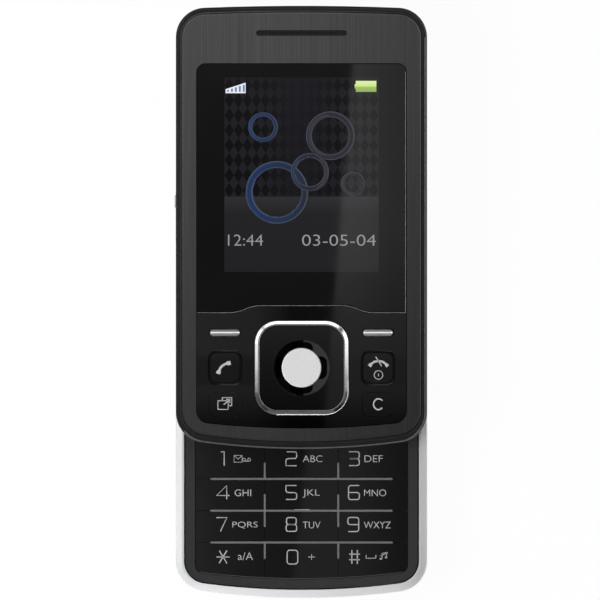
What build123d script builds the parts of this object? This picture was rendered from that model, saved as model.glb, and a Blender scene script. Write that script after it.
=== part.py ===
from build123d import *
import os

# A compact slide phone, drawn open. The lower half holds the battery, the main
# board and the number pad. The upper half holds the display and the control
# keys, and runs up and down on two rails.
#
# The phone lies on its back. X is its width, Y its length towards the earpiece
# and Z points up, out of its front. The origin is the middle of the lower half's
# back. All sizes are in millimetres.

# ---------------------------------------------------------------- both halves

lower_width = 47.2
upper_inset = 0.1  # the upper half is narrower by this on each side
body_length = 83.0
lower_thickness = 8.3
upper_thickness = 5.4
halves_gap = 0.3
slide_travel = 28.0
top_bow = 0.6  # how far the top edge falls back at the sides
bottom_bow = 2.0  # how far the bottom edge rises at the sides
top_corner = 5.5
bottom_corner = 5.8
seam = 0.05  # between fixed pieces that lie side by side or on each other
cap_gap = 0.08  # round a key cap
key_travel = 0.25
dome_height = 0.22
dome_foot = 2.0
dome_crown = 1.3
stem_radius = 1.0
stem_clearance = 0.25

# ---------------------------------------------------------------- lower half

band_wall = 1.55
band_slope = 1.15  # the band's front slopes down to its outside over this width
band_drop = 0.32
band_round = 0.25
rear_height = 2.4
rear_floor = 0.8
rear_wall = 1.2
rear_step = 0.15  # the back lies this far inside the band
back_round = 1.5
cover_split = 21.5  # from the top edge to the seam above the battery cover
tongue_width = 4.0
tongue_reach = 1.6
tongue_root = 1.0
tongue_thickness = 0.3
tongue_spacing = 24.0
grip_count = 5
grip_pitch = 1.1
grip_length = 12.0
grip_width = 0.5
grip_depth = 0.25
grip_from_split = 6.0

bezel_drop = 0.1  # the bezel lies this far below the band
bezel_thickness = 0.9
bezel_gap = 0.25  # groove between the bezel and the band
keypad_side = 3.6  # from the band's outside to the keypad
keypad_foot = 3.53  # from the bottom edge to the keypad
keypad_bow = 1.3
keypad_corner = 1.6
keypad_tuck = 2.5  # the keypad runs on under the open upper half by this
bezel_bar = 1.0  # strip between keypad and slide way
row_pitch = 5.965
last_row = 6.92  # height of the row with the star key
column_pitch = 13.8
cap_thickness = 0.7
cap_sink = 0.15  # cap tops lie this far below the bezel
rib_width = 0.35
rib_gap = 0.1
rib_margin = 2.9  # from the keypad's side to the long ribs' ends
rib_rise = 0.05  # ribs stand this far above the caps
rib_reach = 2.9  # upright ribs past the first and the last row line
mat_thickness = 0.3
mat_margin = 1.0
mat_drop = 0.35  # from the underside of the caps to the mat

frame_gap = 0.25  # inside the band
frame_wall = 0.8
frame_bottom = 1.2
board_bottom = 5.1
board_thickness = 0.7
guide_plate_bottom = 6.45
guide_plate_thickness = 0.4

battery_side = 6.35  # from the band's outside to the battery
battery_thickness = 3.8
battery_gap = 0.25
battery_corner = 1.5
battery_from_split = 1.0
contact_count = 3
contact_pitch = 2.6
contact_width = 1.4
contact_length = 1.0
contact_height = 1.2

way_side = 5.8  # from the band's outside to the slide way
way_top_margin = 2.9
rail_stem = 1.0
rail_flange = 1.0
rail_side = 3.2  # from the slide way's side to the rail's inner face
rail_stem_height = 0.5
rail_flange_height = 0.5
hook_gap = 0.1
hook_height = 0.3
leg_width = 0.7
stop_length = 0.5

spring_wire = 0.5
spring_bottom = 7.45
spring_eye = 0.75
spring_from_rail = 2.6
spring_reach = 16.0  # across, from the fixed pin to the moving pin
spring_pin = 0.6
spring_pin_end = 0.2
spring_coil = 2.2
spring_from_way_top = 9.0

flex_width = 7.0
flex_thickness = 0.1
flex_from_rail = 0.6
flex_gap = 0.1
flex_from_way_top = 1.6
flex_lower_run = 2.0
flex_corner = 0.3
flex_slot_gap = 0.3

volume_from_top = 11.5
volume_length = 10.4
volume_height = 2.2
volume_z = 4.8
volume_proud = 0.05
volume_pip = 0.2
volume_pip_offset = 3.0  # the pip marks the upper end
volume_pip_length = 2.4
volume_pip_height = 0.8
volume_gap = 0.15
volume_flange = 0.35
volume_flange_lip = 0.6
volume_swing_room = 0.4
volume_fulcrum = 0.3
volume_switch_width = 1.0
volume_switch_length = 6.0
volume_switch_height = 0.55

camera_from_top = 10.5
camera_body = 8.5
camera_side_gap = 1.85
camera_barrel = 2.6
camera_window_radius = 3.5
camera_window_thickness = 0.6
camera_ring_gap = 0.1
camera_lens = 1.3

speaker_side = 4.5  # from the band's outside to the loudspeaker
speaker_length = 9.0
speaker_height = 3.2
speaker_hole = 0.4
speaker_hole_pitch = 1.6
speaker_hole_columns = 6
speaker_hole_rows = 3

antenna_side = 4.3
antenna_length = 9.0
antenna_height = 3.4
antenna_wall = 0.6
antenna_from_top = 12.3

motor_radius = 1.5
motor_length = 7.0
motor_side = 10.6
motor_from_top = 4.9
motor_weight_length = 2.0

sim_width = 25.5
sim_length = 13.6
sim_foot = 5.4  # from the bottom edge to the card holder
sim_thickness = 1.6
sim_x = -4.5
sim_card_slot = 0.9

connector_side = 9.1
connector_width = 7.5
connector_height = 2.3
connector_depth = 5.0
connector_wall = 0.3
connector_tongue = 0.7
connector_mouth_gap = 0.25
connector_inset = 0.4

mic_radius = 1.1
mic_height = 1.1
mic_hole = 0.45
mic_depth = 0.15

base_screw_side = 4.0
base_screw_near = 6.0  # from the slide way's lower end
base_screw_far = 21.6  # from the slide way's upper end
base_screw_head = 1.1
base_screw_head_height = 0.6
base_screw_shank = 0.5
screw_clearance = 0.05
screw_cross = 0.3
screw_cross_depth = 0.25

can_height = 0.55
can_width = 19.0
can_x = 6.0
near_can_length = 14.0
far_can_length = 19.0
near_can_offset = 9.0  # from the slide way's lower end to the can's middle
far_can_offset = 30.0

# ---------------------------------------------------------------- upper half

rim_wall = 0.9
rim_foot = 1.22  # width of the rim along the bottom edge
rim_round = 0.5
rim_inner_round = 0.2
back_cover_height = 1.8
back_cover_floor = 1.0
back_cover_wall = 1.0
back_cover_step = 0.1
back_cover_round = 0.5
slide_plate_thickness = 0.4
slide_plate_lip = 1.1  # past the legs
slide_plate_top_margin = 7.5
slide_plate_foot = 4.5  # plate below the hooks
slide_plate_corner = 1.5
slide_screw_side = 3.1  # in from the plate's side
slide_screw_edge = 2.2
slide_screw_head = 1.2
slide_screw_shank = 0.6

front_thickness = 0.9
front_drop = 0.1  # the brushed plate lies this far below the rim
front_round = 0.4
front_gap = 0.12  # groove between the brushed plate and the rim
chassis_gap = 0.3
glass_drop = 0.05  # window and panel lie this far below the brushed plate
glass_thickness = 0.85
glass_edge = 0.1
field_side = 3.85  # from the rim's outside to window and panel
field_from_top = 10.8
field_foot = 3.99
field_bow = 1.15
field_top_corner = 1.7
field_bottom_corner = 2.4
panel_height = 21.63
seam_rise = 1.31
seam_foot_side = 7.55  # from the window's side to the foot of the step
seam_slope = 2.95  # length of the step's slope

ear_from_top = 5.1
ear_width = 17.0
ear_height = 1.04
ear_grille_gap = 0.05
ear_grille_thickness = 0.2
ear_grille_depth = 0.4
ear_hole = 0.14
ear_hole_pitch = 0.42
ear_speaker_width = 12.0
ear_speaker_length = 6.6
ear_speaker_height = 2.2
ear_speaker_round = 1.5

display_side = 3.05  # from the window's side to the display
display_from_field = 1.1
display_from_seam = 2.91
display_glass_thickness = 0.95
display_light_thickness = 1.3
display_gap = 0.15

key_board_thickness = 0.6
key_board_drop = 1.85  # from the underside of the front to the board's back
key_board_side = 1.45  # from the panel's side to the board
key_board_foot = 1.5
key_board_head = 0.8
upper_mat_thickness = 0.3
upper_mat_drop = 0.4
tail_thickness = 0.15

nav_from_field = 11.31
nav_width = 17.55
nav_length = 17.6
nav_corner = 4.3
nav_ring_width = 0.85
nav_ring_slope = 0.62  # width of the ring's face that slopes down to its outside
nav_ring_drop = 0.19
nav_gap = 0.12
nav_rise = 0.2  # the ring stands this far above the panel
nav_pad_rise = 0.05
nav_round = 0.07
nav_foot_round = 0.15
nav_dish = 5.3
nav_dish_depth = 0.16
nav_lobe_reach = 4.78
nav_lobe_width = 4.3
nav_lobe_corner = 1.2
nav_lobe_depth = 0.32
nav_thickness = 0.85
nav_foot_radius = 0.7
nav_foot_place = 6.4
nav_pivot_inner = 4.05
nav_pivot_outer = 5.0
nav_pivot_thickness = 0.15
nav_pivot_gap = 0.15
nav_pivot_bead = 0.11
select_radius = 3.7
select_gap = 0.1
select_rise = 0.05
select_round = 0.2

side_key_margin = 2.415  # from the panel's side to its side keys
side_key_gap = 2.59  # from the side keys to the direction pad
soft_key_length = 1.43
soft_key_offset = 6.55
soft_key_rise = 0.1
call_key_length = 6.02
call_key_corner = 1.35
call_key_groove = 0.28
low_key_length = 4.4
low_key_corner = 1.2
low_key_offset = -6.93
control_cap_thickness = 1.0
control_stem = 0.635
control_cap_round = 0.1
soft_key_round = 0.65

# ---------------------------------------------------------------- levels and places

upper_width = lower_width - 2 * upper_inset
lower_top = body_length / 2
lower_bottom = -body_length / 2
upper_top = lower_top + slide_travel
upper_bottom = lower_bottom + slide_travel
cover_line = lower_top - cover_split

keypad_width = lower_width - 2 * keypad_side
rib_span = keypad_width - 2 * rib_margin
battery_width = lower_width - 2 * battery_side
way_half_width = lower_width / 2 - way_side
rail_inner = way_half_width - rail_side
spring_fixed_x = rail_inner - spring_from_rail
spring_moving_x = spring_fixed_x - spring_reach
flex_x = -(rail_inner - flex_from_rail - flex_width / 2)
camera_reach = camera_body / 2 + camera_side_gap
speaker_width = lower_width / 2 - speaker_side - camera_reach
speaker_x = camera_reach + speaker_width / 2
antenna_width = lower_width / 2 - antenna_side - camera_reach
antenna_x = -camera_reach - antenna_width / 2
motor_x = motor_side - lower_width / 2
connector_x = lower_width / 2 - connector_side
base_screw_x = lower_width / 2 - base_screw_side
field_width = upper_width - 2 * field_side
display_width = field_width - 2 * display_side
key_board_width = field_width - 2 * key_board_side
side_key_width = field_width / 2 - side_key_margin - side_key_gap - nav_width / 2
control_x = field_width / 2 - side_key_margin - side_key_width / 2
seam_foot = field_width / 2 - seam_foot_side
seam_head = seam_foot - seam_slope

bezel_top = lower_thickness - bezel_drop
bezel_bottom = bezel_top - bezel_thickness
cap_top = bezel_top - cap_sink
cap_bottom = cap_top - cap_thickness
mat_top = cap_bottom - mat_drop
mat_bottom = mat_top - mat_thickness
board_top = board_bottom + board_thickness
guide_plate_top = guide_plate_bottom + guide_plate_thickness
stem_bottom = board_top + dome_height + key_travel + seam

keypad_top = upper_bottom + keypad_tuck
keypad_bottom = lower_bottom + keypad_foot
row_lines = [keypad_bottom + last_row + row_pitch * row for row in range(3)]
way_bottom = keypad_top + bezel_bar
way_top = lower_top - way_top_margin
stop_room = stop_length + hook_gap
hook_top = way_top - stop_room
hook_bottom = way_bottom + stop_room + slide_travel

battery_top = cover_line - battery_from_split
sim_bottom = lower_bottom + sim_foot
sim_top = sim_bottom + sim_length
battery_bottom = sim_top + frame_wall + 2 * battery_gap
battery_length = battery_top - battery_bottom
volume_y = lower_top - volume_from_top
camera_y = lower_top - camera_from_top
frame_inset = band_wall + frame_gap
pocket_inset = frame_inset + frame_wall

spring_moving_y = way_top - spring_from_way_top
spring_fixed_y = spring_moving_y - slide_travel / 2
flex_moving_y = way_top - flex_from_way_top
flex_fixed_y = flex_moving_y - slide_travel

upper_base = lower_thickness + halves_gap
rim_top = upper_base + upper_thickness
back_cover_top = upper_base + back_cover_height
back_cover_inside = upper_base + back_cover_floor
rim_bottom = back_cover_top + seam
slide_plate_high = upper_top - slide_plate_top_margin
slide_plate_low = hook_bottom - slide_plate_foot
chassis_bottom = back_cover_inside + seam
front_top = rim_top - front_drop
front_bottom = front_top - front_thickness
glass_top = front_top - glass_drop
glass_bottom = glass_top - glass_thickness
chassis_top = front_bottom - seam
display_top = chassis_top - seam
display_middle = display_top - display_glass_thickness
display_bottom = display_middle - seam - display_light_thickness
key_board_bottom = front_bottom - key_board_drop
key_board_top = key_board_bottom + key_board_thickness
upper_stem_bottom = key_board_top + dome_height + key_travel + seam

field_top = upper_top - field_from_top
field_bottom = upper_bottom + field_foot
seam_y = field_bottom + panel_height
ear_y = upper_top - ear_from_top
nav_y = field_bottom + nav_from_field
display_head = field_top - display_from_field
display_foot = seam_y + display_from_seam
display_length = display_head - display_foot
key_board_low = field_bottom + key_board_foot
key_board_high = seam_y - key_board_head

number_keys = ["key_star", "key_0", "key_hash", "key_7", "key_8", "key_9"]
number_keys += ["key_4", "key_5", "key_6", "key_1", "key_2", "key_3"]


# ---------------------------------------------------------------- outlines


def body_face(width, bottom, top, inset):
    """Outline of one half: straight sides, bowed ends and rounded corners."""
    half = width / 2
    with BuildSketch() as face:
        with BuildLine():
            Line((half, bottom + bottom_bow), (half, top - top_bow))
            ThreePointArc((half, top - top_bow), (0, top), (-half, top - top_bow))
            Line((-half, top - top_bow), (-half, bottom + bottom_bow))
            ThreePointArc((-half, bottom + bottom_bow), (0, bottom), (half, bottom + bottom_bow))
        make_face()
        fillet(face.vertices().group_by(Axis.Y)[-1], radius=top_corner - inset)
        fillet(face.vertices().group_by(Axis.Y)[0], radius=bottom_corner - inset)
    return face.sketch


def drawn_in(outline, margin):
    """The same outline, smaller by an even margin all round."""
    with BuildSketch() as face:
        add(outline)
        offset(amount=-margin)
    return face.sketch


def bowed_field(width, bottom, top, bow, low_corner, high_corner):
    """A rectangle whose lower edge bows down in the middle."""
    half = width / 2
    with BuildSketch() as face:
        with BuildLine():
            Polyline((half, bottom + bow), (half, top), (-half, top), (-half, bottom + bow))
            ThreePointArc((-half, bottom + bow), (0, bottom), (half, bottom + bow))
        make_face()
        fillet(face.vertices().group_by(Axis.Y)[-1], radius=high_corner)
        fillet(face.vertices().group_by(Axis.Y)[0], radius=low_corner)
    return face.sketch


def beyond_seam(shift, far):
    """All of the front from the stepped seam, moved by shift, to the line y = far."""
    half = field_width / 2
    low = seam_y + shift
    high = low + seam_rise
    with BuildSketch() as face:
        with BuildLine():
            Polyline(
                (-half, far),
                (-half, low),
                (-seam_foot, low),
                (-seam_head, high),
                (seam_head, high),
                (seam_foot, low),
                (half, low),
                (half, far),
                close=True,
            )
        make_face()
    return face.sketch


lower_face = body_face(lower_width, lower_bottom, lower_top, 0)
upper_face = body_face(upper_width, upper_bottom, upper_top, 0)
rim_bore = body_face(
    upper_width - 2 * rim_wall, upper_bottom + rim_foot, upper_top - rim_wall, rim_wall
)
rear_face = drawn_in(lower_face, rear_step)
band_bore = drawn_in(lower_face, band_wall)
frame_face = drawn_in(lower_face, frame_inset)
pocket_face = drawn_in(lower_face, pocket_inset)
keypad_face = bowed_field(
    keypad_width, keypad_bottom, keypad_top, keypad_bow, keypad_corner, keypad_corner
)
field_face = bowed_field(
    field_width, field_bottom, field_top, field_bow, field_bottom_corner, field_top_corner
)
way_size = (2 * way_half_width, way_top - way_bottom)
way_centre = (0, (way_top + way_bottom) / 2)


# ---------------------------------------------------------------- lower half: casing

# The silver band is the side wall of the lower half. It has a slot for the volume
# key on the left, and a mouth for the plug and a hole for the voice at the bottom.
slope_foot = lower_thickness - band_drop
connector_top = board_bottom - seam
connector_z = connector_top - connector_height / 2
mic_z = board_bottom - seam - mic_height / 2
with BuildPart() as lower_frame:
    with BuildSketch(Plane.XY.offset(rear_height + seam)):
        add(lower_face)
    extrude(amount=lower_thickness - rear_height - seam - band_drop)
    with BuildSketch(Plane.XY.offset(lower_thickness - band_drop)):
        add(lower_face)
    with BuildSketch(Plane.XY.offset(lower_thickness)):
        add(drawn_in(lower_face, band_slope))
    loft()
    outside = lower_frame.edges().filter_by(lambda edge: abs(edge.center().Z - slope_foot) < seam)
    fillet(outside, radius=band_round)
    with BuildSketch(Plane.XY.offset(rear_height)):
        add(band_bore)
    extrude(amount=lower_thickness, mode=Mode.SUBTRACT)
    with BuildSketch(Plane.YZ.offset(-lower_width / 2)):
        with Locations((volume_y, volume_z)):
            SlotOverall(volume_length + 2 * volume_gap, volume_height + 2 * volume_gap)
    extrude(amount=2 * band_wall, mode=Mode.SUBTRACT)
    with BuildSketch(Plane.XZ.offset(-lower_bottom)):
        with Locations((connector_x, connector_z)):
            RectangleRounded(
                connector_width + 2 * connector_mouth_gap,
                connector_height + 2 * connector_mouth_gap,
                connector_mouth_gap + connector_wall,
            )
        with Locations((0, mic_z)):
            Circle(mic_hole)
    extrude(amount=-2 * band_wall - bottom_bow, mode=Mode.SUBTRACT)

# The back is a shallow dish. A seam across it parts the battery cover, which
# slides off downwards, from the fixed upper end with camera and loudspeaker.
with BuildPart() as rear_dish:
    with BuildSketch():
        add(rear_face)
    extrude(amount=rear_height)
    fillet(rear_dish.faces().sort_by(Axis.Z)[0].edges(), radius=back_round)
    with BuildSketch(Plane.XY.offset(rear_floor)):
        add(drawn_in(rear_face, rear_wall))
    extrude(amount=rear_height, mode=Mode.SUBTRACT)

tongue_bottom = rear_floor + seam
with BuildPart() as battery_cover:
    add(rear_dish.part)
    split(bisect_by=Plane.XZ.offset(-cover_line + seam), keep=Keep.TOP)
    with BuildSketch(Plane.XY.offset(rear_floor)):
        with Locations((0, cover_line - seam - tongue_root / 2)):
            with GridLocations(tongue_spacing, 0, 2, 1):
                Rectangle(tongue_width, tongue_root)
    extrude(amount=seam + tongue_thickness)
    with BuildSketch(Plane.XY.offset(tongue_bottom)):
        with Locations((0, cover_line - seam + tongue_reach / 2)):
            with GridLocations(tongue_spacing, 0, 2, 1):
                Rectangle(tongue_width, tongue_reach)
    extrude(amount=tongue_thickness)
    with BuildSketch():
        with Locations((0, cover_line - grip_from_split)):
            with GridLocations(0, grip_pitch, 1, grip_count):
                SlotOverall(grip_length, grip_width)
    extrude(amount=grip_depth, mode=Mode.SUBTRACT)

with BuildPart() as rear_housing:
    add(rear_dish.part)
    split(bisect_by=Plane.XZ.offset(-cover_line - seam), keep=Keep.BOTTOM)
    with BuildSketch():
        with Locations((0, camera_y)):
            Circle(camera_window_radius + seam)
        with Locations((speaker_x, camera_y)):
            with GridLocations(
                speaker_hole_pitch, speaker_hole_pitch, speaker_hole_columns, speaker_hole_rows
            ):
                Circle(speaker_hole)
    extrude(amount=rear_floor, mode=Mode.SUBTRACT)

# The bezel is the dark face of the lower half, open for the keypad and the slide way.
with BuildPart() as keypad_bezel:
    with BuildSketch(Plane.XY.offset(bezel_bottom)):
        add(drawn_in(band_bore, bezel_gap))
        add(keypad_face, mode=Mode.SUBTRACT)
        with Locations(way_centre):
            Rectangle(*way_size, mode=Mode.SUBTRACT)
    extrude(amount=bezel_thickness)

# ---------------------------------------------------------------- lower half: inner frame

# The inner frame is one moulding with pockets from behind for the battery, the
# card, the microphone, the plug and the parts at the upper end. The main board
# lies in it from the front.
sim_y = (sim_top + sim_bottom) / 2
mic_y = sim_bottom - battery_gap - frame_wall / 2 - mic_radius
battery_centre = (0, (battery_top + battery_bottom) / 2)
screw_places = [
    (side * base_screw_x, y)
    for side in (-1, 1)
    for y in (way_bottom + base_screw_near, way_top - base_screw_far)
]
with BuildPart() as mid_frame:
    with BuildSketch(Plane.XY.offset(frame_bottom)):
        add(frame_face)
    extrude(amount=guide_plate_bottom - frame_bottom)
    with BuildSketch(Plane.XY.offset(board_bottom - seam)):
        add(pocket_face)
    extrude(amount=guide_plate_bottom, mode=Mode.SUBTRACT)
    with BuildSketch(Plane.XY.offset(frame_bottom)):
        with Locations(battery_centre):
            RectangleRounded(
                battery_width + 2 * battery_gap,
                battery_length + 2 * battery_gap,
                battery_corner + battery_gap,
            )
        with Locations((sim_x, sim_y)):
            Rectangle(sim_width + 2 * battery_gap, sim_length + 2 * battery_gap)
        with Locations((0, mic_y)):
            Circle(mic_radius + mic_depth)
    extrude(amount=board_bottom, mode=Mode.SUBTRACT)
    with BuildSketch(Plane.XY.offset(frame_bottom)):
        add(pocket_face)
        with Locations((0, battery_top + frame_wall + battery_gap)):
            Rectangle(
                lower_width, body_length, align=(Align.CENTER, Align.MIN), mode=Mode.INTERSECT
            )
    extrude(amount=board_bottom, mode=Mode.SUBTRACT)
    with BuildSketch(Plane.XY.offset(connector_z - connector_height / 2 - seam)):
        with Locations((connector_x, lower_bottom)):
            Rectangle(
                connector_width + 2 * connector_mouth_gap,
                bottom_bow + connector_depth + battery_gap,
                align=(Align.CENTER, Align.MIN),
            )
    extrude(amount=connector_height + 2 * seam, mode=Mode.SUBTRACT)
    with BuildSketch(Plane.XZ.offset(-lower_bottom)):
        with Locations((0, mic_z)):
            Circle(mic_hole)
    extrude(amount=lower_bottom - mic_y, mode=Mode.SUBTRACT)
    with BuildSketch(Plane.YZ.offset(-lower_width / 2)):
        with Locations((volume_y, guide_plate_bottom)):
            Rectangle(
                volume_length + 2 * volume_flange_lip + 2 * volume_swing_room,
                2 * (guide_plate_bottom - volume_z + volume_height / 2 + volume_flange_lip),
            )
    extrude(amount=pocket_inset, mode=Mode.SUBTRACT)
    with BuildSketch(Plane.XY.offset(frame_bottom)):
        with Locations(*screw_places):
            Circle(base_screw_shank + screw_clearance)
    extrude(amount=guide_plate_bottom, mode=Mode.SUBTRACT)
    with BuildSketch(Plane.XY.offset(frame_bottom)):
        with Locations(*screw_places):
            Circle(base_screw_head + screw_clearance)
    extrude(amount=base_screw_head_height + 2 * screw_clearance, mode=Mode.SUBTRACT)

# ---------------------------------------------------------------- lower half: inside parts

# The main board carries the shield cans, the battery springs and the side switch.
board_edge = lower_width / 2 - pocket_inset - seam - seam
contact_y = battery_top + battery_gap + frame_wall + contact_length
with BuildPart() as main_board:
    with BuildSketch(Plane.XY.offset(board_bottom)):
        add(drawn_in(pocket_face, 2 * seam))
        with Locations(*screw_places):
            Circle(base_screw_shank + screw_clearance, mode=Mode.SUBTRACT)
    extrude(amount=board_thickness)
    with BuildSketch(Plane.XY.offset(board_top)):
        with Locations((-board_edge + volume_switch_width / 2, volume_y)):
            Rectangle(volume_switch_width, volume_switch_length)
    extrude(amount=volume_switch_height)
    with BuildSketch(Plane.XY.offset(board_bottom)):
        with Locations((0, contact_y)):
            with GridLocations(contact_pitch, 0, contact_count, 1):
                Rectangle(contact_width, contact_length)
    extrude(amount=-contact_height)

with BuildPart() as shield_cans:
    with BuildSketch(Plane.XY.offset(board_top + seam)):
        with Locations((can_x, way_bottom + near_can_offset)):
            RectangleRounded(can_width, near_can_length, cap_gap + seam)
        with Locations((can_x, way_bottom + far_can_offset)):
            RectangleRounded(can_width, far_can_length, cap_gap + seam)
    extrude(amount=can_height)

with BuildPart() as battery:
    with BuildSketch(Plane.XY.offset(frame_bottom)):
        with Locations(battery_centre):
            RectangleRounded(battery_width, battery_length, battery_corner)
    extrude(amount=battery_thickness)
    fillet(battery.edges().filter_by(Axis.Z, reverse=True), radius=battery_gap)

with BuildPart() as sim_holder:
    with BuildSketch(Plane.XY.offset(board_bottom - seam - sim_thickness)):
        with Locations((sim_x, sim_y)):
            Rectangle(sim_width, sim_length)
    extrude(amount=sim_thickness)
    with BuildSketch(Plane.XY.offset(board_bottom - seam - sim_thickness + frame_gap)):
        with Locations((sim_x, sim_y + connector_wall)):
            Rectangle(sim_width - 2 * frame_wall, sim_length)
    extrude(amount=sim_card_slot, mode=Mode.SUBTRACT)

with BuildPart() as camera_module:
    with BuildSketch(Plane.XY.offset(frame_bottom + camera_window_thickness)):
        with Locations((0, camera_y)):
            RectangleRounded(camera_body, camera_body, frame_gap)
    extrude(amount=board_bottom - seam - frame_bottom - camera_window_thickness)
    with BuildSketch(Plane.XY.offset(rear_floor)):
        with Locations((0, camera_y)):
            Circle(camera_barrel)
    extrude(amount=frame_bottom - rear_floor + camera_window_thickness)
    with BuildSketch(Plane.XY.offset(rear_floor)):
        with Locations((0, camera_y)):
            Circle(camera_lens)
    extrude(amount=camera_ring_gap, mode=Mode.SUBTRACT)

with BuildPart() as camera_window:
    with BuildSketch(Plane.XY.offset(camera_ring_gap)):
        with Locations((0, camera_y)):
            Circle(camera_window_radius)
    extrude(amount=camera_window_thickness)
    chamfer(camera_window.faces().sort_by(Axis.Z)[0].edges(), length=camera_ring_gap)

with BuildPart() as loudspeaker:
    with BuildSketch(Plane.XY.offset(rear_floor + seam)):
        with Locations((speaker_x, camera_y)):
            RectangleRounded(speaker_width, speaker_length, battery_corner)
    extrude(amount=speaker_height)
    with BuildSketch(Plane.XY.offset(rear_floor + seam)):
        with Locations((speaker_x, camera_y)):
            RectangleRounded(
                speaker_width - 2 * frame_wall, speaker_length - 2 * frame_wall, frame_wall
            )
    extrude(amount=frame_gap, mode=Mode.SUBTRACT)

# The antenna is a strip folded over the edge of its plastic carrier.
antenna_y = lower_top - antenna_from_top
antenna_bottom = board_bottom - seam - antenna_height
with BuildPart() as antenna:
    with BuildSketch(Plane.XY.offset(antenna_bottom)):
        with Locations((antenna_x, antenna_y)):
            Rectangle(antenna_width, antenna_length)
    extrude(amount=antenna_height)
    with BuildSketch(Plane.XY.offset(antenna_bottom + antenna_wall)):
        with Locations((antenna_x, antenna_y)):
            Rectangle(antenna_width - 2 * antenna_wall, antenna_length - 2 * antenna_wall)
    extrude(amount=antenna_height, mode=Mode.SUBTRACT)

# The buzzer motor lies across the upper end, its half weight on the shaft's end.
motor_y = lower_top - motor_from_top
motor_z = board_bottom - seam - motor_radius
with BuildPart() as vibration_motor:
    with BuildSketch(Plane.YZ.offset(motor_x - motor_length / 2)):
        with Locations((motor_y, motor_z)):
            Circle(motor_radius)
    extrude(amount=motor_length)
    with BuildSketch(Plane.YZ.offset(motor_x + motor_length / 2)):
        with Locations((motor_y, motor_z)):
            Circle(spring_wire / 2)
    extrude(amount=frame_wall + motor_weight_length)
    with BuildSketch(Plane.YZ.offset(motor_x + motor_length / 2 + frame_wall / 2)):
        with Locations((motor_y, motor_z)):
            Circle(motor_radius - 2 * seam)
            Rectangle(
                2 * motor_radius,
                motor_radius,
                align=(Align.CENTER, Align.MAX),
                mode=Mode.SUBTRACT,
            )
    extrude(amount=motor_weight_length)

# The charging and data socket: a folded shell round a tongue.
bow_share = (2 * connector_x / lower_width) ** 2
connector_y = lower_bottom + connector_inset + bottom_bow * bow_share
with BuildPart() as system_connector:
    with BuildSketch(Plane.XZ.offset(-connector_y)):
        with Locations((connector_x, connector_z)):
            RectangleRounded(connector_width, connector_height, connector_wall + seam)
            RectangleRounded(
                connector_width - 2 * connector_wall,
                connector_height - 2 * connector_wall,
                connector_wall,
                mode=Mode.SUBTRACT,
            )
    extrude(amount=-connector_depth)
    with BuildSketch(Plane.XZ.offset(-connector_y - connector_depth)):
        with Locations((connector_x, connector_z)):
            RectangleRounded(connector_width, connector_height, connector_wall + seam)
    extrude(amount=connector_wall)
    with BuildSketch(Plane.XZ.offset(-connector_y - connector_depth)):
        with Locations((connector_x, connector_z + connector_wall)):
            Rectangle(connector_width - 6 * connector_wall, connector_tongue)
    extrude(amount=connector_depth - 2 * connector_wall)

with BuildPart() as microphone:
    with BuildSketch(Plane.XY.offset(board_bottom - seam - mic_height)):
        with Locations((0, mic_y)):
            Circle(mic_radius)
    extrude(amount=mic_height)
    fillet(microphone.faces().sort_by(Axis.Z)[0].edges(), radius=mic_depth)

with BuildPart() as base_screws:
    with BuildSketch(Plane.XY.offset(frame_bottom + screw_clearance)):
        with Locations(*screw_places):
            Circle(base_screw_head)
    extrude(amount=base_screw_head_height)
    with BuildSketch(Plane.XY.offset(frame_bottom + screw_clearance)):
        with Locations(*screw_places):
            Circle(base_screw_shank)
    extrude(amount=guide_plate_top - frame_bottom - screw_clearance)
    with BuildSketch(Plane.XY.offset(frame_bottom + screw_clearance)):
        with Locations(*screw_places):
            Rectangle(base_screw_head, screw_cross)
            Rectangle(screw_cross, base_screw_head)
    extrude(amount=screw_cross_depth, mode=Mode.SUBTRACT)

# The volume key rocks in the band's left side on a round bead at its back. A
# flange behind the band keeps it in, and a raised pip marks its upper end.
volume_face_x = -lower_width / 2 - volume_proud
volume_flange_x = -lower_width / 2 + band_wall + volume_swing_room
with BuildPart() as volume_key:
    with BuildSketch(Plane.YZ.offset(volume_face_x)):
        with Locations((volume_y, volume_z)):
            SlotOverall(volume_length, volume_height)
    extrude(amount=volume_flange_x - volume_face_x + seam)
    fillet(volume_key.faces().sort_by(Axis.X)[0].edges(), radius=volume_gap)
    with BuildSketch(Plane.YZ.offset(volume_flange_x)):
        with Locations((volume_y, volume_z)):
            SlotOverall(
                volume_length + 2 * volume_flange_lip, volume_height + volume_flange_lip
            )
    extrude(amount=volume_flange)
    with BuildSketch(Plane.YZ.offset(volume_face_x)):
        with Locations((volume_y + volume_pip_offset, volume_z)):
            SlotOverall(volume_pip_length, volume_pip_height)
    extrude(amount=-volume_pip, taper=20)
    with BuildSketch(Plane.XY.offset(volume_z - volume_height / 2)):
        with Locations((volume_flange_x + volume_flange, volume_y)):
            Circle(volume_fulcrum)
    extrude(amount=volume_height)

# ---------------------------------------------------------------- lower half: number pad

cell_edges_x = [-keypad_width / 2, -column_pitch / 2, column_pitch / 2, keypad_width / 2]
cell_edges_y = [keypad_bottom, *row_lines, keypad_top]
caps_face = drawn_in(keypad_face, cap_gap)


def add_ribs(widen, mode):
    """The ribs' footprint, in the sketch that is open, widened by a clearance."""
    length = rib_span + 2 * widen
    width = rib_width + 2 * widen
    with Locations(*[(0, line) for line in row_lines]):
        SlotOverall(length, width, mode=mode)
    low, middle, high = row_lines
    spans = [
        (low - rib_reach, low),
        (middle - rib_reach, middle + rib_reach),
        (high, high + rib_reach),
    ]
    for start, end in spans:
        with Locations((0, (start + end) / 2)):
            with GridLocations(column_pitch, 0, 2, 1):
                SlotOverall(end - start + width, width, rotation=90, mode=mode)


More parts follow.
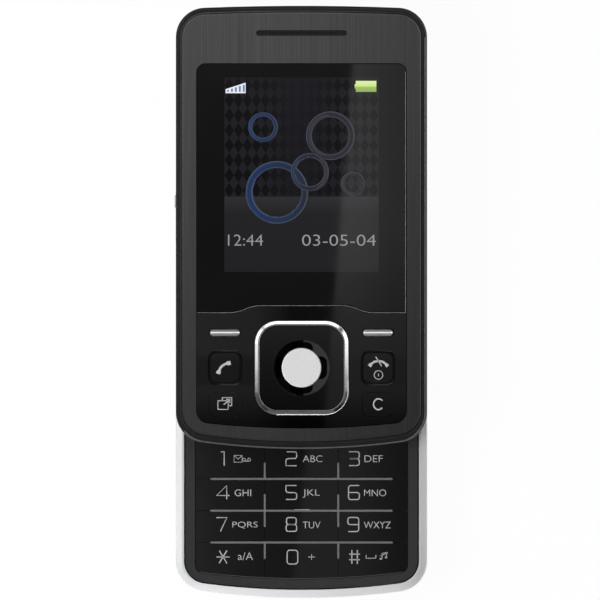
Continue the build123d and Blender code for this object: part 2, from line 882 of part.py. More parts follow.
def cell_centre(column, row):
    """Middle of one key's cell, where its stem stands over its switch dome."""
    x = (cell_edges_x[column] + cell_edges_x[column + 1]) / 2
    y = (cell_edges_y[row] + cell_edges_y[row + 1]) / 2
    return (x, y)


def number_key(column, row):
    """A flat cap that fills its cell of the keypad, with a stem under it."""
    left, right = cell_edges_x[column : column + 2]
    low, high = cell_edges_y[row : row + 2]
    middle = cell_centre(column, row)
    with BuildPart() as cap:
        with BuildSketch(Plane.XY.offset(cap_bottom)):
            add(caps_face)
            with Locations(middle):
                Rectangle(right - left - cap_gap, high - low - cap_gap, mode=Mode.INTERSECT)
            add_ribs(rib_gap, Mode.SUBTRACT)
        extrude(amount=cap_thickness)
        with BuildSketch(Plane.XY.offset(stem_bottom)):
            with Locations(middle):
                Circle(stem_radius)
        extrude(amount=cap_bottom - stem_bottom + seam)
    return cap


key_caps = {}
stem_places = []
for number, label in enumerate(number_keys):
    key_row, key_column = divmod(number, 3)
    key_caps[label] = number_key(key_column, key_row)
    stem_places.append(cell_centre(key_column, key_row))

# The mat is one grey silicone sheet. Its ribs come up between the caps as the
# lines of the keypad.
with BuildPart() as keypad_mat:
    with BuildSketch(Plane.XY.offset(mat_bottom)):
        add(keypad_face)
        offset(amount=mat_margin)
        add(drawn_in(pocket_face, seam), mode=Mode.INTERSECT)
        with Locations((0, keypad_top + bezel_bar / 2)):
            Rectangle(
                lower_width, body_length, align=(Align.CENTER, Align.MAX), mode=Mode.INTERSECT
            )
        with Locations(*stem_places):
            Circle(stem_radius + stem_clearance, mode=Mode.SUBTRACT)
    extrude(amount=mat_thickness)
    with BuildSketch(Plane.XY.offset(mat_bottom)):
        add_ribs(0, Mode.ADD)
    extrude(amount=cap_top + rib_rise - mat_bottom)

with BuildPart() as key_domes:
    with Locations(*[(x, y, board_top) for x, y in stem_places]):
        Cone(
            dome_foot,
            dome_crown,
            dome_height,
            align=(Align.CENTER, Align.CENTER, Align.MIN),
        )

# ---------------------------------------------------------------- slide way

# The steel guide plate is fixed over the board. It has a stop at each end of each
# rail, a pin for the spring and a slot for the flexible cable.
hook_inner = rail_inner + rail_stem + hook_gap
leg_inner = rail_inner + rail_stem + rail_flange + hook_gap
leg_outer = leg_inner + leg_width
rail_top = guide_plate_top + rail_stem_height + rail_flange_height
stop_middle = (hook_inner + leg_outer) / 2
with BuildPart() as guide_plate:
    with BuildSketch(Plane.XY.offset(guide_plate_bottom)):
        add(drawn_in(frame_face, seam))
        with Locations((0, way_bottom - bezel_bar / 2 + seam)):
            Rectangle(
                lower_width, body_length, align=(Align.CENTER, Align.MIN), mode=Mode.INTERSECT
            )
        with Locations((flex_x, flex_fixed_y)):
            Rectangle(flex_width + 2 * flex_slot_gap, 4 * flex_slot_gap, mode=Mode.SUBTRACT)
        with Locations(*screw_places):
            Circle(base_screw_shank + screw_clearance, mode=Mode.SUBTRACT)
    extrude(amount=guide_plate_thickness)
    with BuildSketch(Plane.XY.offset(guide_plate_bottom)):
        for stop_y in (way_bottom + stop_length / 2, way_top - stop_length / 2):
            with Locations((0, stop_y)):
                with GridLocations(2 * stop_middle, 0, 2, 1):
                    Rectangle(leg_outer - hook_inner, stop_length)
    extrude(amount=rail_top - guide_plate_bottom)
    with BuildSketch(Plane.XY.offset(guide_plate_bottom)):
        with Locations((spring_fixed_x, spring_fixed_y)):
            Circle(spring_pin)
    extrude(amount=upper_base - spring_pin_end - guide_plate_bottom)

# Two plastic rails: an upright foot with a flange that points outwards.
rail_centre = rail_inner + rail_stem / 2
with BuildPart() as guide_rails:
    with BuildSketch(Plane.XY.offset(guide_plate_top)):
        with Locations(way_centre):
            with GridLocations(2 * rail_centre, 0, 2, 1):
                Rectangle(rail_stem, way_size[1])
    extrude(amount=rail_stem_height)
    flange_width = rail_stem + rail_flange
    with BuildSketch(Plane.XY.offset(guide_plate_top + rail_stem_height)):
        with Locations(way_centre):
            with GridLocations(2 * rail_inner + flange_width, 0, 2, 1):
                Rectangle(flange_width, way_size[1] - 2 * stop_room)
    extrude(amount=rail_flange_height)

# The spring snaps the slide open or shut: a bent wire with a coil at its knee.
knee = (spring_fixed_x - spring_coil, spring_moving_y + spring_coil)
fixed_eye = (spring_fixed_x, spring_fixed_y)
moving_eye = (spring_moving_x, spring_moving_y)
with BuildPart() as assist_spring:
    with BuildSketch(Plane.XY.offset(spring_bottom)):
        with BuildLine():
            Polyline(fixed_eye, knee, moving_eye)
        trace(line_width=spring_wire)
        with Locations(fixed_eye, moving_eye):
            Circle(spring_eye + spring_wire)
            Circle(spring_eye, mode=Mode.SUBTRACT)
        with Locations(knee):
            Circle(spring_coil)
            Circle(spring_coil - spring_wire, mode=Mode.SUBTRACT)
    extrude(amount=spring_wire)

# The flexible cable joins the two boards. It comes up through the guide plate,
# makes one loop and lies under the sliding plate as far as that plate's slot.
flex_low_z = guide_plate_top + flex_gap + flex_thickness / 2
flex_high_z = upper_base - flex_gap - flex_thickness / 2
flex_loop = (flex_high_z - flex_low_z) / 2
flex_loop_y = flex_fixed_y - flex_lower_run - flex_loop
with BuildPart() as flex_cable:
    with BuildSketch(Plane.YZ.offset(flex_x - flex_width / 2)):
        with BuildLine():
            FilletPolyline(
                (flex_fixed_y, board_top + 2 * seam),
                (flex_fixed_y, flex_low_z),
                (flex_loop_y, flex_low_z),
                (flex_loop_y, flex_high_z),
                (flex_moving_y, flex_high_z),
                radius=[flex_corner, flex_loop - seam, flex_loop - seam],
            )
        trace(line_width=flex_thickness)
    extrude(amount=flex_width)

# ---------------------------------------------------------------- upper half: sliding plate

slide_plate_half_width = leg_outer + slide_plate_lip
slide_screw_x = slide_plate_half_width - slide_screw_side
slide_screw_places = [
    (side * slide_screw_x, y)
    for side in (-1, 1)
    for y in (slide_plate_low + slide_screw_edge, slide_plate_high - slide_screw_edge)
]
slide_plate_centre = (0, (slide_plate_low + slide_plate_high) / 2)
slide_plate_length = slide_plate_high - slide_plate_low
tail_slot = (flex_width + 2 * flex_slot_gap, 4 * flex_slot_gap)
hook_centre_y = (hook_bottom + hook_top) / 2
hook_bottom_z = guide_plate_top + hook_gap

# The sliding steel plate closes the back of the upper half. Two legs go down
# outside the rails and hook in under their flanges.
with BuildPart() as slide_plate:
    with BuildSketch(Plane.XY.offset(upper_base)):
        with Locations(slide_plate_centre):
            RectangleRounded(2 * slide_plate_half_width, slide_plate_length, slide_plate_corner)
        with Locations(*slide_screw_places):
            Circle(slide_screw_head + screw_clearance, mode=Mode.SUBTRACT)
        with Locations((flex_x, flex_moving_y)):
            Rectangle(*tail_slot, mode=Mode.SUBTRACT)
    extrude(amount=slide_plate_thickness)
    with BuildSketch(Plane.XY.offset(hook_bottom_z)):
        with Locations((0, hook_centre_y)):
            with GridLocations(leg_inner + leg_outer, 0, 2, 1):
                Rectangle(leg_width, hook_top - hook_bottom)
    extrude(amount=upper_base - hook_bottom_z + seam)
    with BuildSketch(Plane.XY.offset(hook_bottom_z)):
        with Locations((0, hook_centre_y)):
            with GridLocations(hook_inner + leg_outer, 0, 2, 1):
                Rectangle(leg_outer - hook_inner, hook_top - hook_bottom)
    extrude(amount=hook_height)
    with BuildSketch(Plane.XY.offset(upper_base + seam)):
        with Locations(moving_eye):
            Circle(spring_pin)
    extrude(amount=guide_plate_top + spring_pin_end - upper_base - seam)

with BuildPart() as slide_screws:
    with BuildSketch(Plane.XY.offset(upper_base + screw_clearance)):
        with Locations(*slide_screw_places):
            Circle(slide_screw_head)
    extrude(amount=slide_plate_thickness - screw_clearance)
    with BuildSketch(Plane.XY.offset(upper_base + screw_clearance)):
        with Locations(*slide_screw_places):
            Circle(slide_screw_shank)
    extrude(amount=display_bottom - 2 * seam - upper_base)
    with BuildSketch(Plane.XY.offset(upper_base + screw_clearance)):
        with Locations(*slide_screw_places):
            Rectangle(slide_screw_head, screw_cross)
            Rectangle(screw_cross, slide_screw_head)
    extrude(amount=screw_cross_depth, mode=Mode.SUBTRACT)

# ---------------------------------------------------------------- upper half: casing

# The back of the upper half is a shallow tray with a recess for the sliding plate.
with BuildPart() as slide_back_cover:
    with BuildSketch(Plane.XY.offset(upper_base)):
        add(drawn_in(upper_face, back_cover_step))
    extrude(amount=back_cover_height)
    fillet(slide_back_cover.faces().sort_by(Axis.Z)[0].edges(), radius=back_cover_round)
    with BuildSketch(Plane.XY.offset(back_cover_inside)):
        add(drawn_in(upper_face, back_cover_step + back_cover_wall))
    extrude(amount=back_cover_height, mode=Mode.SUBTRACT)
    with BuildSketch(Plane.XY.offset(upper_base)):
        with Locations(slide_plate_centre):
            RectangleRounded(
                2 * slide_plate_half_width + 2 * seam,
                slide_plate_length + 2 * seam,
                slide_plate_corner,
            )
    extrude(amount=slide_plate_thickness + seam, mode=Mode.SUBTRACT)
    with BuildSketch(Plane.XY.offset(upper_base)):
        with Locations((flex_x, flex_moving_y)):
            Rectangle(*tail_slot)
        with Locations(*slide_screw_places):
            Circle(slide_screw_shank + screw_clearance)
    extrude(amount=back_cover_height, mode=Mode.SUBTRACT)

with BuildPart() as upper_rim:
    with BuildSketch(Plane.XY.offset(rim_bottom)):
        add(upper_face)
    extrude(amount=rim_top - rim_bottom)
    fillet(upper_rim.faces().sort_by(Axis.Z)[-1].edges(), radius=rim_round)
    with BuildSketch(Plane.XY.offset(rim_bottom)):
        add(rim_bore)
    extrude(amount=upper_thickness, mode=Mode.SUBTRACT)
    inner_edge = upper_rim.faces().sort_by(Axis.Z)[-1].inner_wires()[0].edges()
    fillet(inner_edge, radius=rim_inner_round)

with BuildPart() as front_plate:
    with BuildSketch(Plane.XY.offset(front_bottom)):
        add(drawn_in(rim_bore, front_gap))
    extrude(amount=front_thickness)
    fillet(front_plate.faces().sort_by(Axis.Z)[-1].edges(), radius=front_round)
    with BuildSketch(Plane.XY.offset(front_bottom)):
        add(field_face)
        offset(amount=seam)
        with Locations((0, ear_y)):
            SlotOverall(ear_width, ear_height)
    extrude(amount=front_thickness, mode=Mode.SUBTRACT)

# The window and the key panel meet at a stepped seam.
with BuildPart() as display_window:
    with BuildSketch(Plane.XY.offset(glass_bottom)):
        add(field_face)
        add(beyond_seam(seam, upper_top), mode=Mode.INTERSECT)
    extrude(amount=glass_thickness)
    chamfer(display_window.faces().sort_by(Axis.Z)[-1].edges(), length=glass_edge)

nav_centre = (0, nav_y)
call_places = [(-control_x, nav_y), (control_x, nav_y)]
soft_places = [(x, y + soft_key_offset) for x, y in call_places]
low_places = [(x, y + low_key_offset) for x, y in call_places]
with BuildPart() as control_panel:
    with BuildSketch(Plane.XY.offset(glass_bottom)):
        add(field_face)
        add(beyond_seam(-seam, upper_bottom), mode=Mode.INTERSECT)
    extrude(amount=glass_thickness)
    chamfer(control_panel.faces().sort_by(Axis.Z)[-1].edges(), length=glass_edge)
    with BuildSketch(Plane.XY.offset(glass_bottom)):
        with Locations(nav_centre):
            RectangleRounded(nav_width + 2 * nav_gap, nav_length + 2 * nav_gap, nav_corner + nav_gap)
        with Locations(*soft_places):
            SlotOverall(side_key_width + 2 * cap_gap, soft_key_length + 2 * cap_gap)
        with Locations(*call_places):
            RectangleRounded(
                side_key_width + 2 * call_key_groove,
                call_key_length + 2 * call_key_groove,
                call_key_corner + call_key_groove,
            )
        with Locations(*low_places):
            RectangleRounded(
                side_key_width + 2 * cap_gap,
                low_key_length + 2 * cap_gap,
                low_key_corner + cap_gap,
            )
    extrude(amount=glass_thickness, mode=Mode.SUBTRACT)

# ---------------------------------------------------------------- upper half: control keys


def control_cap(outline, place, top, edge_round):
    """A key cap of the given outline, with a stem that reaches for its switch dome."""
    bottom = glass_top - control_cap_thickness
    with BuildPart() as cap:
        with BuildSketch(Plane.XY.offset(bottom)):
            with Locations(place):
                add(outline)
        extrude(amount=top - bottom)
        fillet(cap.faces().sort_by(Axis.Z)[-1].edges(), radius=edge_round)
        with BuildSketch(Plane.XY.offset(upper_stem_bottom)):
            with Locations(place):
                Circle(control_stem)
        extrude(amount=bottom - upper_stem_bottom + seam)
    return cap


with BuildSketch() as soft_outline:
    SlotOverall(side_key_width, soft_key_length)
with BuildSketch() as call_outline:
    RectangleRounded(side_key_width, call_key_length, call_key_corner)
with BuildSketch() as low_outline:
    RectangleRounded(side_key_width, low_key_length, low_key_corner)

soft_top = glass_top + soft_key_rise
softkey_left = control_cap(soft_outline.sketch, soft_places[0], soft_top, soft_key_round)
softkey_right = control_cap(soft_outline.sketch, soft_places[1], soft_top, soft_key_round)
call_key = control_cap(call_outline.sketch, call_places[0], glass_top, control_cap_round)
end_key = control_cap(call_outline.sketch, call_places[1], glass_top, control_cap_round)
activity_key = control_cap(low_outline.sketch, low_places[0], glass_top, control_cap_round)
clear_key = control_cap(low_outline.sketch, low_places[1], glass_top, control_cap_round)

# The direction pad tilts on a gimbal ring. A chrome ring edges it and four feet
# under it reach for the switch domes. The select key stands free in its middle,
# in a shallow cone with a deeper lobe towards each side.
nav_bottom = glass_top - nav_thickness
pad_size = (nav_width - 2 * nav_ring_width, nav_length - 2 * nav_ring_width)
pad_corner = nav_corner - nav_ring_width
pad_top = glass_top + nav_pad_rise
ring_foot = glass_top + nav_rise - nav_ring_drop
nav_foot_places = [
    (nav_foot_place, nav_y),
    (-nav_foot_place, nav_y),
    (0, nav_y + nav_foot_place),
    (0, nav_y - nav_foot_place),
]
with BuildPart() as nav_ring:
    with BuildSketch(Plane.XY.offset(nav_bottom)):
        with Locations(nav_centre):
            RectangleRounded(nav_width, nav_length, nav_corner)
    extrude(amount=glass_top + nav_rise - nav_bottom)
    ring_face = nav_ring.faces().sort_by(Axis.Z)[-1]
    chamfer(ring_face.edges(), length=nav_ring_slope, length2=nav_ring_drop, reference=ring_face)
    with BuildSketch(Plane.XY.offset(nav_bottom)):
        with Locations(nav_centre):
            RectangleRounded(*pad_size, pad_corner)
    extrude(amount=glass_thickness + nav_rise, mode=Mode.SUBTRACT)
    inner_edge = nav_ring.faces().sort_by(Axis.Z)[-1].inner_wires()[0].edges()
    fillet(inner_edge, radius=nav_round)
    outside = nav_ring.edges().filter_by(lambda edge: abs(edge.center().Z - ring_foot) < seam)
    fillet(outside, radius=nav_foot_round)

with BuildPart() as nav_pad:
    with BuildSketch(Plane.XY.offset(nav_bottom)):
        with Locations(nav_centre):
            RectangleRounded(pad_size[0] - 2 * seam, pad_size[1] - 2 * seam, pad_corner - seam)
            Circle(select_radius + select_gap, mode=Mode.SUBTRACT)
    extrude(amount=pad_top - nav_bottom)
    with Locations((0, nav_y, pad_top)):
        Cone(
            bottom_radius=select_radius,
            top_radius=nav_dish,
            height=nav_dish_depth,
            align=(Align.CENTER, Align.CENTER, Align.MAX),
            mode=Mode.SUBTRACT,
        )
    with BuildSketch(Plane.XY.offset(pad_top)):
        with Locations(nav_centre):
            RectangleRounded(2 * nav_lobe_reach, nav_lobe_width, nav_lobe_corner)
            RectangleRounded(nav_lobe_width, 2 * nav_lobe_reach, nav_lobe_corner)
    extrude(amount=-nav_lobe_depth, mode=Mode.SUBTRACT)
    with BuildSketch(Plane.XY.offset(upper_stem_bottom)):
        with Locations(*nav_foot_places):
            Circle(nav_foot_radius)
    extrude(amount=nav_bottom - upper_stem_bottom + seam)

# The gimbal ring has four beads across it. It rocks on two of them, and the pad
# rocks on the other two.
nav_pivot_z = nav_bottom - nav_pivot_gap - nav_pivot_thickness / 2
with BuildPart() as nav_pivot:
    with BuildSketch(Plane.XY.offset(nav_pivot_z)):
        with Locations(nav_centre):
            Circle(nav_pivot_outer)
            Circle(nav_pivot_inner, mode=Mode.SUBTRACT)
    extrude(amount=nav_pivot_thickness / 2, both=True)
    for crosswise in (Plane.YZ, Plane.XZ):
        bead_place = (nav_y, nav_pivot_z) if crosswise == Plane.YZ else (0, nav_pivot_z)
        middle = 0 if crosswise == Plane.YZ else -nav_y
        for side in (-1, 1):
            with BuildSketch(crosswise.offset(middle + side * nav_pivot_inner)):
                with Locations(bead_place):
                    Circle(nav_pivot_bead)
            extrude(amount=side * (nav_pivot_outer - nav_pivot_inner))

with BuildPart() as select_key:
    with BuildSketch(Plane.XY.offset(nav_bottom)):
        with Locations(nav_centre):
            Circle(select_radius)
    extrude(amount=glass_top + select_rise - nav_bottom)
    fillet(select_key.faces().sort_by(Axis.Z)[-1].edges(), radius=select_round)
    with BuildSketch(Plane.XY.offset(upper_stem_bottom)):
        with Locations(nav_centre):
            Circle(stem_radius)
    extrude(amount=nav_bottom - upper_stem_bottom + seam)

# ---------------------------------------------------------------- upper half: inside parts

cap_places = [*soft_places, *call_places, *low_places, nav_centre]
upper_mat_top = glass_bottom - upper_mat_drop - glass_edge
key_board_centre = (0, (key_board_low + key_board_high) / 2)
key_board_length = key_board_high - key_board_low
tail_z = chassis_bottom + tail_thickness

with BuildPart() as upper_keymat:
    with BuildSketch(Plane.XY.offset(upper_mat_top)):
        with Locations(key_board_centre):
            RectangleRounded(key_board_width, key_board_length, low_key_corner)
        with Locations(*cap_places):
            Circle(stem_radius + stem_clearance, mode=Mode.SUBTRACT)
        with Locations(*nav_foot_places):
            Circle(nav_foot_radius + stem_clearance, mode=Mode.SUBTRACT)
    extrude(amount=-upper_mat_thickness)

# The key board with its domes. A flat tail runs back from it along the chassis
# and turns down into the sliding plate's slot, over the end of the cable.
tail_root_y = key_board_low + key_board_length / 2
with BuildPart() as key_board:
    with BuildSketch(Plane.XY.offset(key_board_bottom)):
        with Locations(key_board_centre):
            RectangleRounded(key_board_width, key_board_length, low_key_corner)
    extrude(amount=key_board_thickness)
    with Locations(*[(x, y, key_board_top) for x, y in [*cap_places, *nav_foot_places]]):
        Cone(
            nav_foot_radius + dome_height,
            nav_foot_radius,
            dome_height,
            align=(Align.CENTER, Align.CENTER, Align.MIN),
        )
    with BuildSketch(Plane.YZ.offset(flex_x - flex_width / 2)):
        with BuildLine():
            FilletPolyline(
                (tail_root_y, key_board_bottom + seam),
                (tail_root_y, tail_z),
                (flex_moving_y, tail_z),
                (flex_moving_y, upper_base),
                radius=flex_corner,
            )
        trace(line_width=tail_thickness)
    extrude(amount=flex_width)

display_centre = (0, (display_head + display_foot) / 2)
with BuildPart() as lcd_backlight:
    with BuildSketch(Plane.XY.offset(display_bottom)):
        with Locations(display_centre):
            RectangleRounded(display_width, display_length, nav_ring_width)
    extrude(amount=display_light_thickness)

with BuildPart() as lcd_glass:
    with BuildSketch(Plane.XY.offset(display_middle)):
        with Locations(display_centre):
            Rectangle(display_width, display_length)
    extrude(amount=display_glass_thickness)
    chamfer(lcd_glass.edges().filter_by(Axis.Z), length=display_gap)

with BuildPart() as ear_speaker:
    with BuildSketch(Plane.XY.offset(chassis_top - ear_speaker_height)):
        with Locations((0, ear_y)):
            RectangleRounded(ear_speaker_width, ear_speaker_length, ear_speaker_round)
    extrude(amount=ear_speaker_height)
    with BuildSketch(Plane.XY.offset(chassis_top)):
        with Locations((0, ear_y)):
            SlotOverall(ear_speaker_width - 2 * ear_speaker_round, ear_height)
    extrude(amount=-ear_grille_depth, mode=Mode.SUBTRACT)

ear_hole_count = int((ear_width - ear_height) / ear_hole_pitch)
with BuildPart() as ear_grille:
    with BuildSketch(Plane.XY.offset(front_top - ear_grille_depth)):
        with Locations((0, ear_y)):
            SlotOverall(ear_width - 2 * ear_grille_gap, ear_height - 2 * ear_grille_gap)
            with GridLocations(ear_hole_pitch, 0, ear_hole_count, 1):
                Circle(ear_hole, mode=Mode.SUBTRACT)
    extrude(amount=-ear_grille_thickness)

# The chassis is the moulding that holds everything in the upper half. It has
# pockets for the display, the key board and the earpiece, and a channel behind
# for the board's tail.
with BuildPart() as slide_chassis:
    with BuildSketch(Plane.XY.offset(chassis_bottom)):
        add(drawn_in(rim_bore, chassis_gap))
    extrude(amount=chassis_top - chassis_bottom)
    with BuildSketch(Plane.XY.offset(display_bottom - seam)):
        with Locations(display_centre):
            Rectangle(display_width + 2 * display_gap, display_length + 2 * display_gap)
    extrude(amount=upper_thickness, mode=Mode.SUBTRACT)
    with BuildSketch(Plane.XY.offset(key_board_bottom - seam)):
        with Locations(key_board_centre):
            Rectangle(key_board_width + 2 * display_gap, key_board_length + 2 * display_gap)
    extrude(amount=upper_thickness, mode=Mode.SUBTRACT)
    with BuildSketch(Plane.XY.offset(chassis_top - ear_speaker_height - seam)):
        with Locations((0, ear_y)):
            RectangleRounded(
                ear_speaker_width + 2 * display_gap,
                ear_speaker_length + 2 * display_gap,
                ear_speaker_round + display_gap,
            )
    extrude(amount=upper_thickness, mode=Mode.SUBTRACT)
    with BuildSketch(Plane.XY.offset(chassis_top - ear_grille_depth)):
        with Locations((0, ear_y)):
            SlotOverall(ear_width, ear_height)
    extrude(amount=upper_thickness, mode=Mode.SUBTRACT)
    with BuildSketch(Plane.XY.offset(chassis_bottom)):
        with Locations((flex_x, (tail_root_y + flex_moving_y) / 2)):
            Rectangle(
                flex_width + 2 * display_gap, flex_moving_y - tail_root_y + 4 * display_gap
            )
    extrude(amount=tail_z - chassis_bottom + 2 * tail_thickness, mode=Mode.SUBTRACT)
    with BuildSketch(Plane.XY.offset(chassis_bottom)):
        with Locations((flex_x, tail_root_y)):
            Rectangle(flex_width + 2 * display_gap, 4 * display_gap)
    extrude(amount=key_board_bottom - chassis_bottom, mode=Mode.SUBTRACT)
    with BuildSketch(Plane.XY.offset(chassis_bottom)):
        with Locations(*slide_screw_places):
            Circle(slide_screw_shank + screw_clearance)
    extrude(amount=display_bottom - chassis_bottom, mode=Mode.SUBTRACT)

# ---------------------------------------------------------------- names and files

pieces = {
    "lower_frame": lower_frame,
    "battery_cover": battery_cover,
    "rear_housing": rear_housing,
    "keypad_bezel": keypad_bezel,
    "mid_frame": mid_frame,
    "main_board": main_board,
    "shield_cans": shield_cans,
    "battery": battery,
    "sim_holder": sim_holder,
    "camera_module": camera_module,
    "camera_window": camera_window,
    "loudspeaker": loudspeaker,
    "antenna": antenna,
    "vibration_motor": vibration_motor,
    "system_connector": system_connector,
    "microphone": microphone,
    "base_screws": base_screws,
    "volume_key": volume_key,
    **key_caps,
    "keypad_mat": keypad_mat,
    "key_domes": key_domes,
    "guide_plate": guide_plate,
    "guide_rails": guide_rails,
    "assist_spring": assist_spring,
    "flex_cable": flex_cable,
    "slide_plate": slide_plate,
    "slide_screws": slide_screws,
    "slide_back_cover": slide_back_cover,
    "upper_rim": upper_rim,
    "front_plate": front_plate,
    "display_window": display_window,
    "control_panel": control_panel,
    "softkey_left": softkey_left,
    "softkey_right": softkey_right,
    "call_key": call_key,
    "end_key": end_key,
    "activity_key": activity_key,
    "clear_key": clear_key,
    "nav_ring": nav_ring,
    "nav_pad": nav_pad,
    "nav_pivot": nav_pivot,
    "select_key": select_key,
    "upper_keymat": upper_keymat,
    "key_board": key_board,
    "lcd_backlight": lcd_backlight,
    "lcd_glass": lcd_glass,
    "ear_speaker": ear_speaker,
    "ear_grille": ear_grille,
    "slide_chassis": slide_chassis,
}

os.makedirs("parts", exist_ok=True)
for label, piece in pieces.items():
    piece.part.label = label
    export_step(piece.part, f"parts/{label}.step")
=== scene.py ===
import math

import bpy
import numpy as np
from mathutils.geometry import convex_hull_2d
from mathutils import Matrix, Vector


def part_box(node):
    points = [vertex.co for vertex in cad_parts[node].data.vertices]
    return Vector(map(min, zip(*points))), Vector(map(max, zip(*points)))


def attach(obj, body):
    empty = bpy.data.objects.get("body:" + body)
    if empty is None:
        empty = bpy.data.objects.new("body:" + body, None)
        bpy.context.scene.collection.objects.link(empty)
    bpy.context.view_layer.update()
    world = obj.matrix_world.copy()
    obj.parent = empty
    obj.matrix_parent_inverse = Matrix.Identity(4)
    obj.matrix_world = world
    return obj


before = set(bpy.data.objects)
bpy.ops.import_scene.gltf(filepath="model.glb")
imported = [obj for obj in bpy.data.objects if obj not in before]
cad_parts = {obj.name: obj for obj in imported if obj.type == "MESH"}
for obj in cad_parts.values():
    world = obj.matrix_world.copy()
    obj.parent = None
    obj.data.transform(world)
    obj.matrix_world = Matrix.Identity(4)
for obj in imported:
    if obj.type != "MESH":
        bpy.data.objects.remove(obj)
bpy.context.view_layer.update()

mm = 0.001

# ---------------------------------------------------------------- camera
# A camera with a long lens, straight above the open phone, so that its near and
# far edges show at one scale.
view_width = 112.42 * mm
view_x, view_y = -0.28 * mm, 14.47 * mm
front_z = 11.0 * mm
lens_length, sensor_width = 500.0, 36.0
camera_data = bpy.data.cameras.new("camera")
camera_data.lens = lens_length
camera_data.sensor_width = sensor_width
camera_data.dof.use_dof = False
camera = bpy.data.objects.new("camera", camera_data)
camera_height = view_width * lens_length / sensor_width
camera.location = (view_x, view_y, front_z + camera_height)
bpy.context.scene.collection.objects.link(camera)
bpy.context.scene.camera = camera

# ---------------------------------------------------------------- studio
# A white table top, one large soft light at the left, and reflector cards that
# only show in what is glossy. Sizes and places here are in metres.
bpy.context.scene.view_settings.view_transform = "Standard"


def new_node(tree, kind, **settings):
    """A node of that kind, with its own settings."""
    made = tree.nodes.new(kind)
    for key, value in settings.items():
        setattr(made, key, value)
    return made


def ramp(tree, source, stops, smooth=False):
    """A colour ramp that reads source. Each stop is a place and a colour or a grey."""
    made = new_node(tree, "ShaderNodeValToRGB")
    made.color_ramp.interpolation = "EASE" if smooth else "LINEAR"
    steps = made.color_ramp.elements
    while len(steps) < len(stops):
        steps.new(0.5)
    for step, (place, colour) in zip(steps, stops):
        step.position = place
        step.color = (*colour, 1) if isinstance(colour, tuple) else (colour, colour, colour, 1)
    tree.links.new(source, made.inputs["Fac"])
    return made.outputs["Color"]


def graded(tree, colour, pattern, stops, smooth=False):
    """The same colour, multiplied by a ramp over the pattern."""
    product = new_node(tree, "ShaderNodeMix", data_type="RGBA", blend_type="MULTIPLY")
    product.inputs["Factor"].default_value = 1.0
    tree.links.new(colour, product.inputs["A"])
    tree.links.new(ramp(tree, pattern, stops, smooth), product.inputs["B"])
    return product.outputs["Result"]


def along(tree, axis, low, high, coordinate="Object"):
    """The place between low and high along an axis, from 0 to 1."""
    place = new_node(tree, "ShaderNodeTexCoord")
    parts = new_node(tree, "ShaderNodeSeparateXYZ")
    span = new_node(tree, "ShaderNodeMapRange")
    span.inputs["From Min"].default_value = low
    span.inputs["From Max"].default_value = high
    tree.links.new(place.outputs[coordinate], parts.inputs["Vector"])
    tree.links.new(parts.outputs[axis], span.inputs["Value"])
    return span.outputs["Result"]


def bare_paint(name):
    """A material that has no shader yet, and its node tree."""
    material = bpy.data.materials.new(name)
    material.use_nodes = True
    tree = material.node_tree
    tree.nodes.remove(tree.nodes["Principled BSDF"])
    return material, tree


def select_nothing():
    """Leaves no object selected, because an operator acts on all that is."""
    bpy.ops.object.select_all(action="DESELECT")
    bpy.context.view_layer.objects.active = None


def stage_plane(name, width, length, centre, paint):
    """A flat painted sheet of the studio, with its place in its mesh."""
    select_nothing()
    bpy.ops.mesh.primitive_plane_add(size=1, location=centre)
    sheet = bpy.context.object
    sheet.name = name
    sheet.scale = (width, length, 1)
    bpy.ops.object.transform_apply(location=True, rotation=True, scale=True)
    sheet.data.materials.append(paint)
    return sheet


# The table is plain white in diffuse light, and nearly as bright as a white screen
# where the camera, a mirror or glass looks at it.
table_size, table_z = 6.0, -0.2 * mm
table_glow = 0.96
table_white, tree = bare_paint("table_white")
white = new_node(tree, "ShaderNodeBsdfDiffuse")
white.inputs["Color"].default_value = (0.86, 0.86, 0.86, 1)
glow = new_node(tree, "ShaderNodeEmission")
rays = new_node(tree, "ShaderNodeLightPath")
seen = rays.outputs["Is Camera Ray"]
for ray in ("Is Glossy Ray", "Is Transmission Ray"):
    either = new_node(tree, "ShaderNodeMath", operation="ADD", use_clamp=True)
    tree.links.new(seen, either.inputs[0])
    tree.links.new(rays.outputs[ray], either.inputs[1])
    seen = either.outputs[0]
share = new_node(tree, "ShaderNodeMath", operation="MULTIPLY")
share.inputs[1].default_value = table_glow
blend = new_node(tree, "ShaderNodeMixShader")
tree.links.new(seen, share.inputs[0])
tree.links.new(share.outputs[0], blend.inputs["Fac"])
tree.links.new(white.outputs["BSDF"], blend.inputs[1])
tree.links.new(glow.outputs["Emission"], blend.inputs[2])
tree.links.new(blend.outputs["Shader"], tree.nodes["Material Output"].inputs["Surface"])
stage_plane("table_top", table_size, table_size, (0, 0, table_z), table_white)

world = bpy.data.worlds.new("studio")
bpy.context.scene.world = world
world.use_nodes = True
tree = world.node_tree
height = along(tree, "Z", 0.0, 1.0, "Generated")
sky = ramp(tree, height, [(0.0, 0.95), (0.35, 0.75), (0.7, 0.35), (0.93, 0.10)])
tree.links.new(sky, tree.nodes["Background"].inputs["Color"])

# The soft light is square, points at the phone and isn't seen in reflections.
lamp = bpy.data.lights.new("left_light", "AREA")
lamp.size = 0.35
lamp.energy = 4.0
lamp_stand = bpy.data.objects.new("left_light", lamp)
lamp_stand.location = (-0.42, -0.06, 0.42)
aim = camera.location.copy()
aim.z = front_z
lamp_stand.rotation_euler = (aim - lamp_stand.location).to_track_quat("-Z", "Y").to_euler()
lamp_stand.visible_glossy = False
bpy.context.scene.collection.objects.link(lamp_stand)


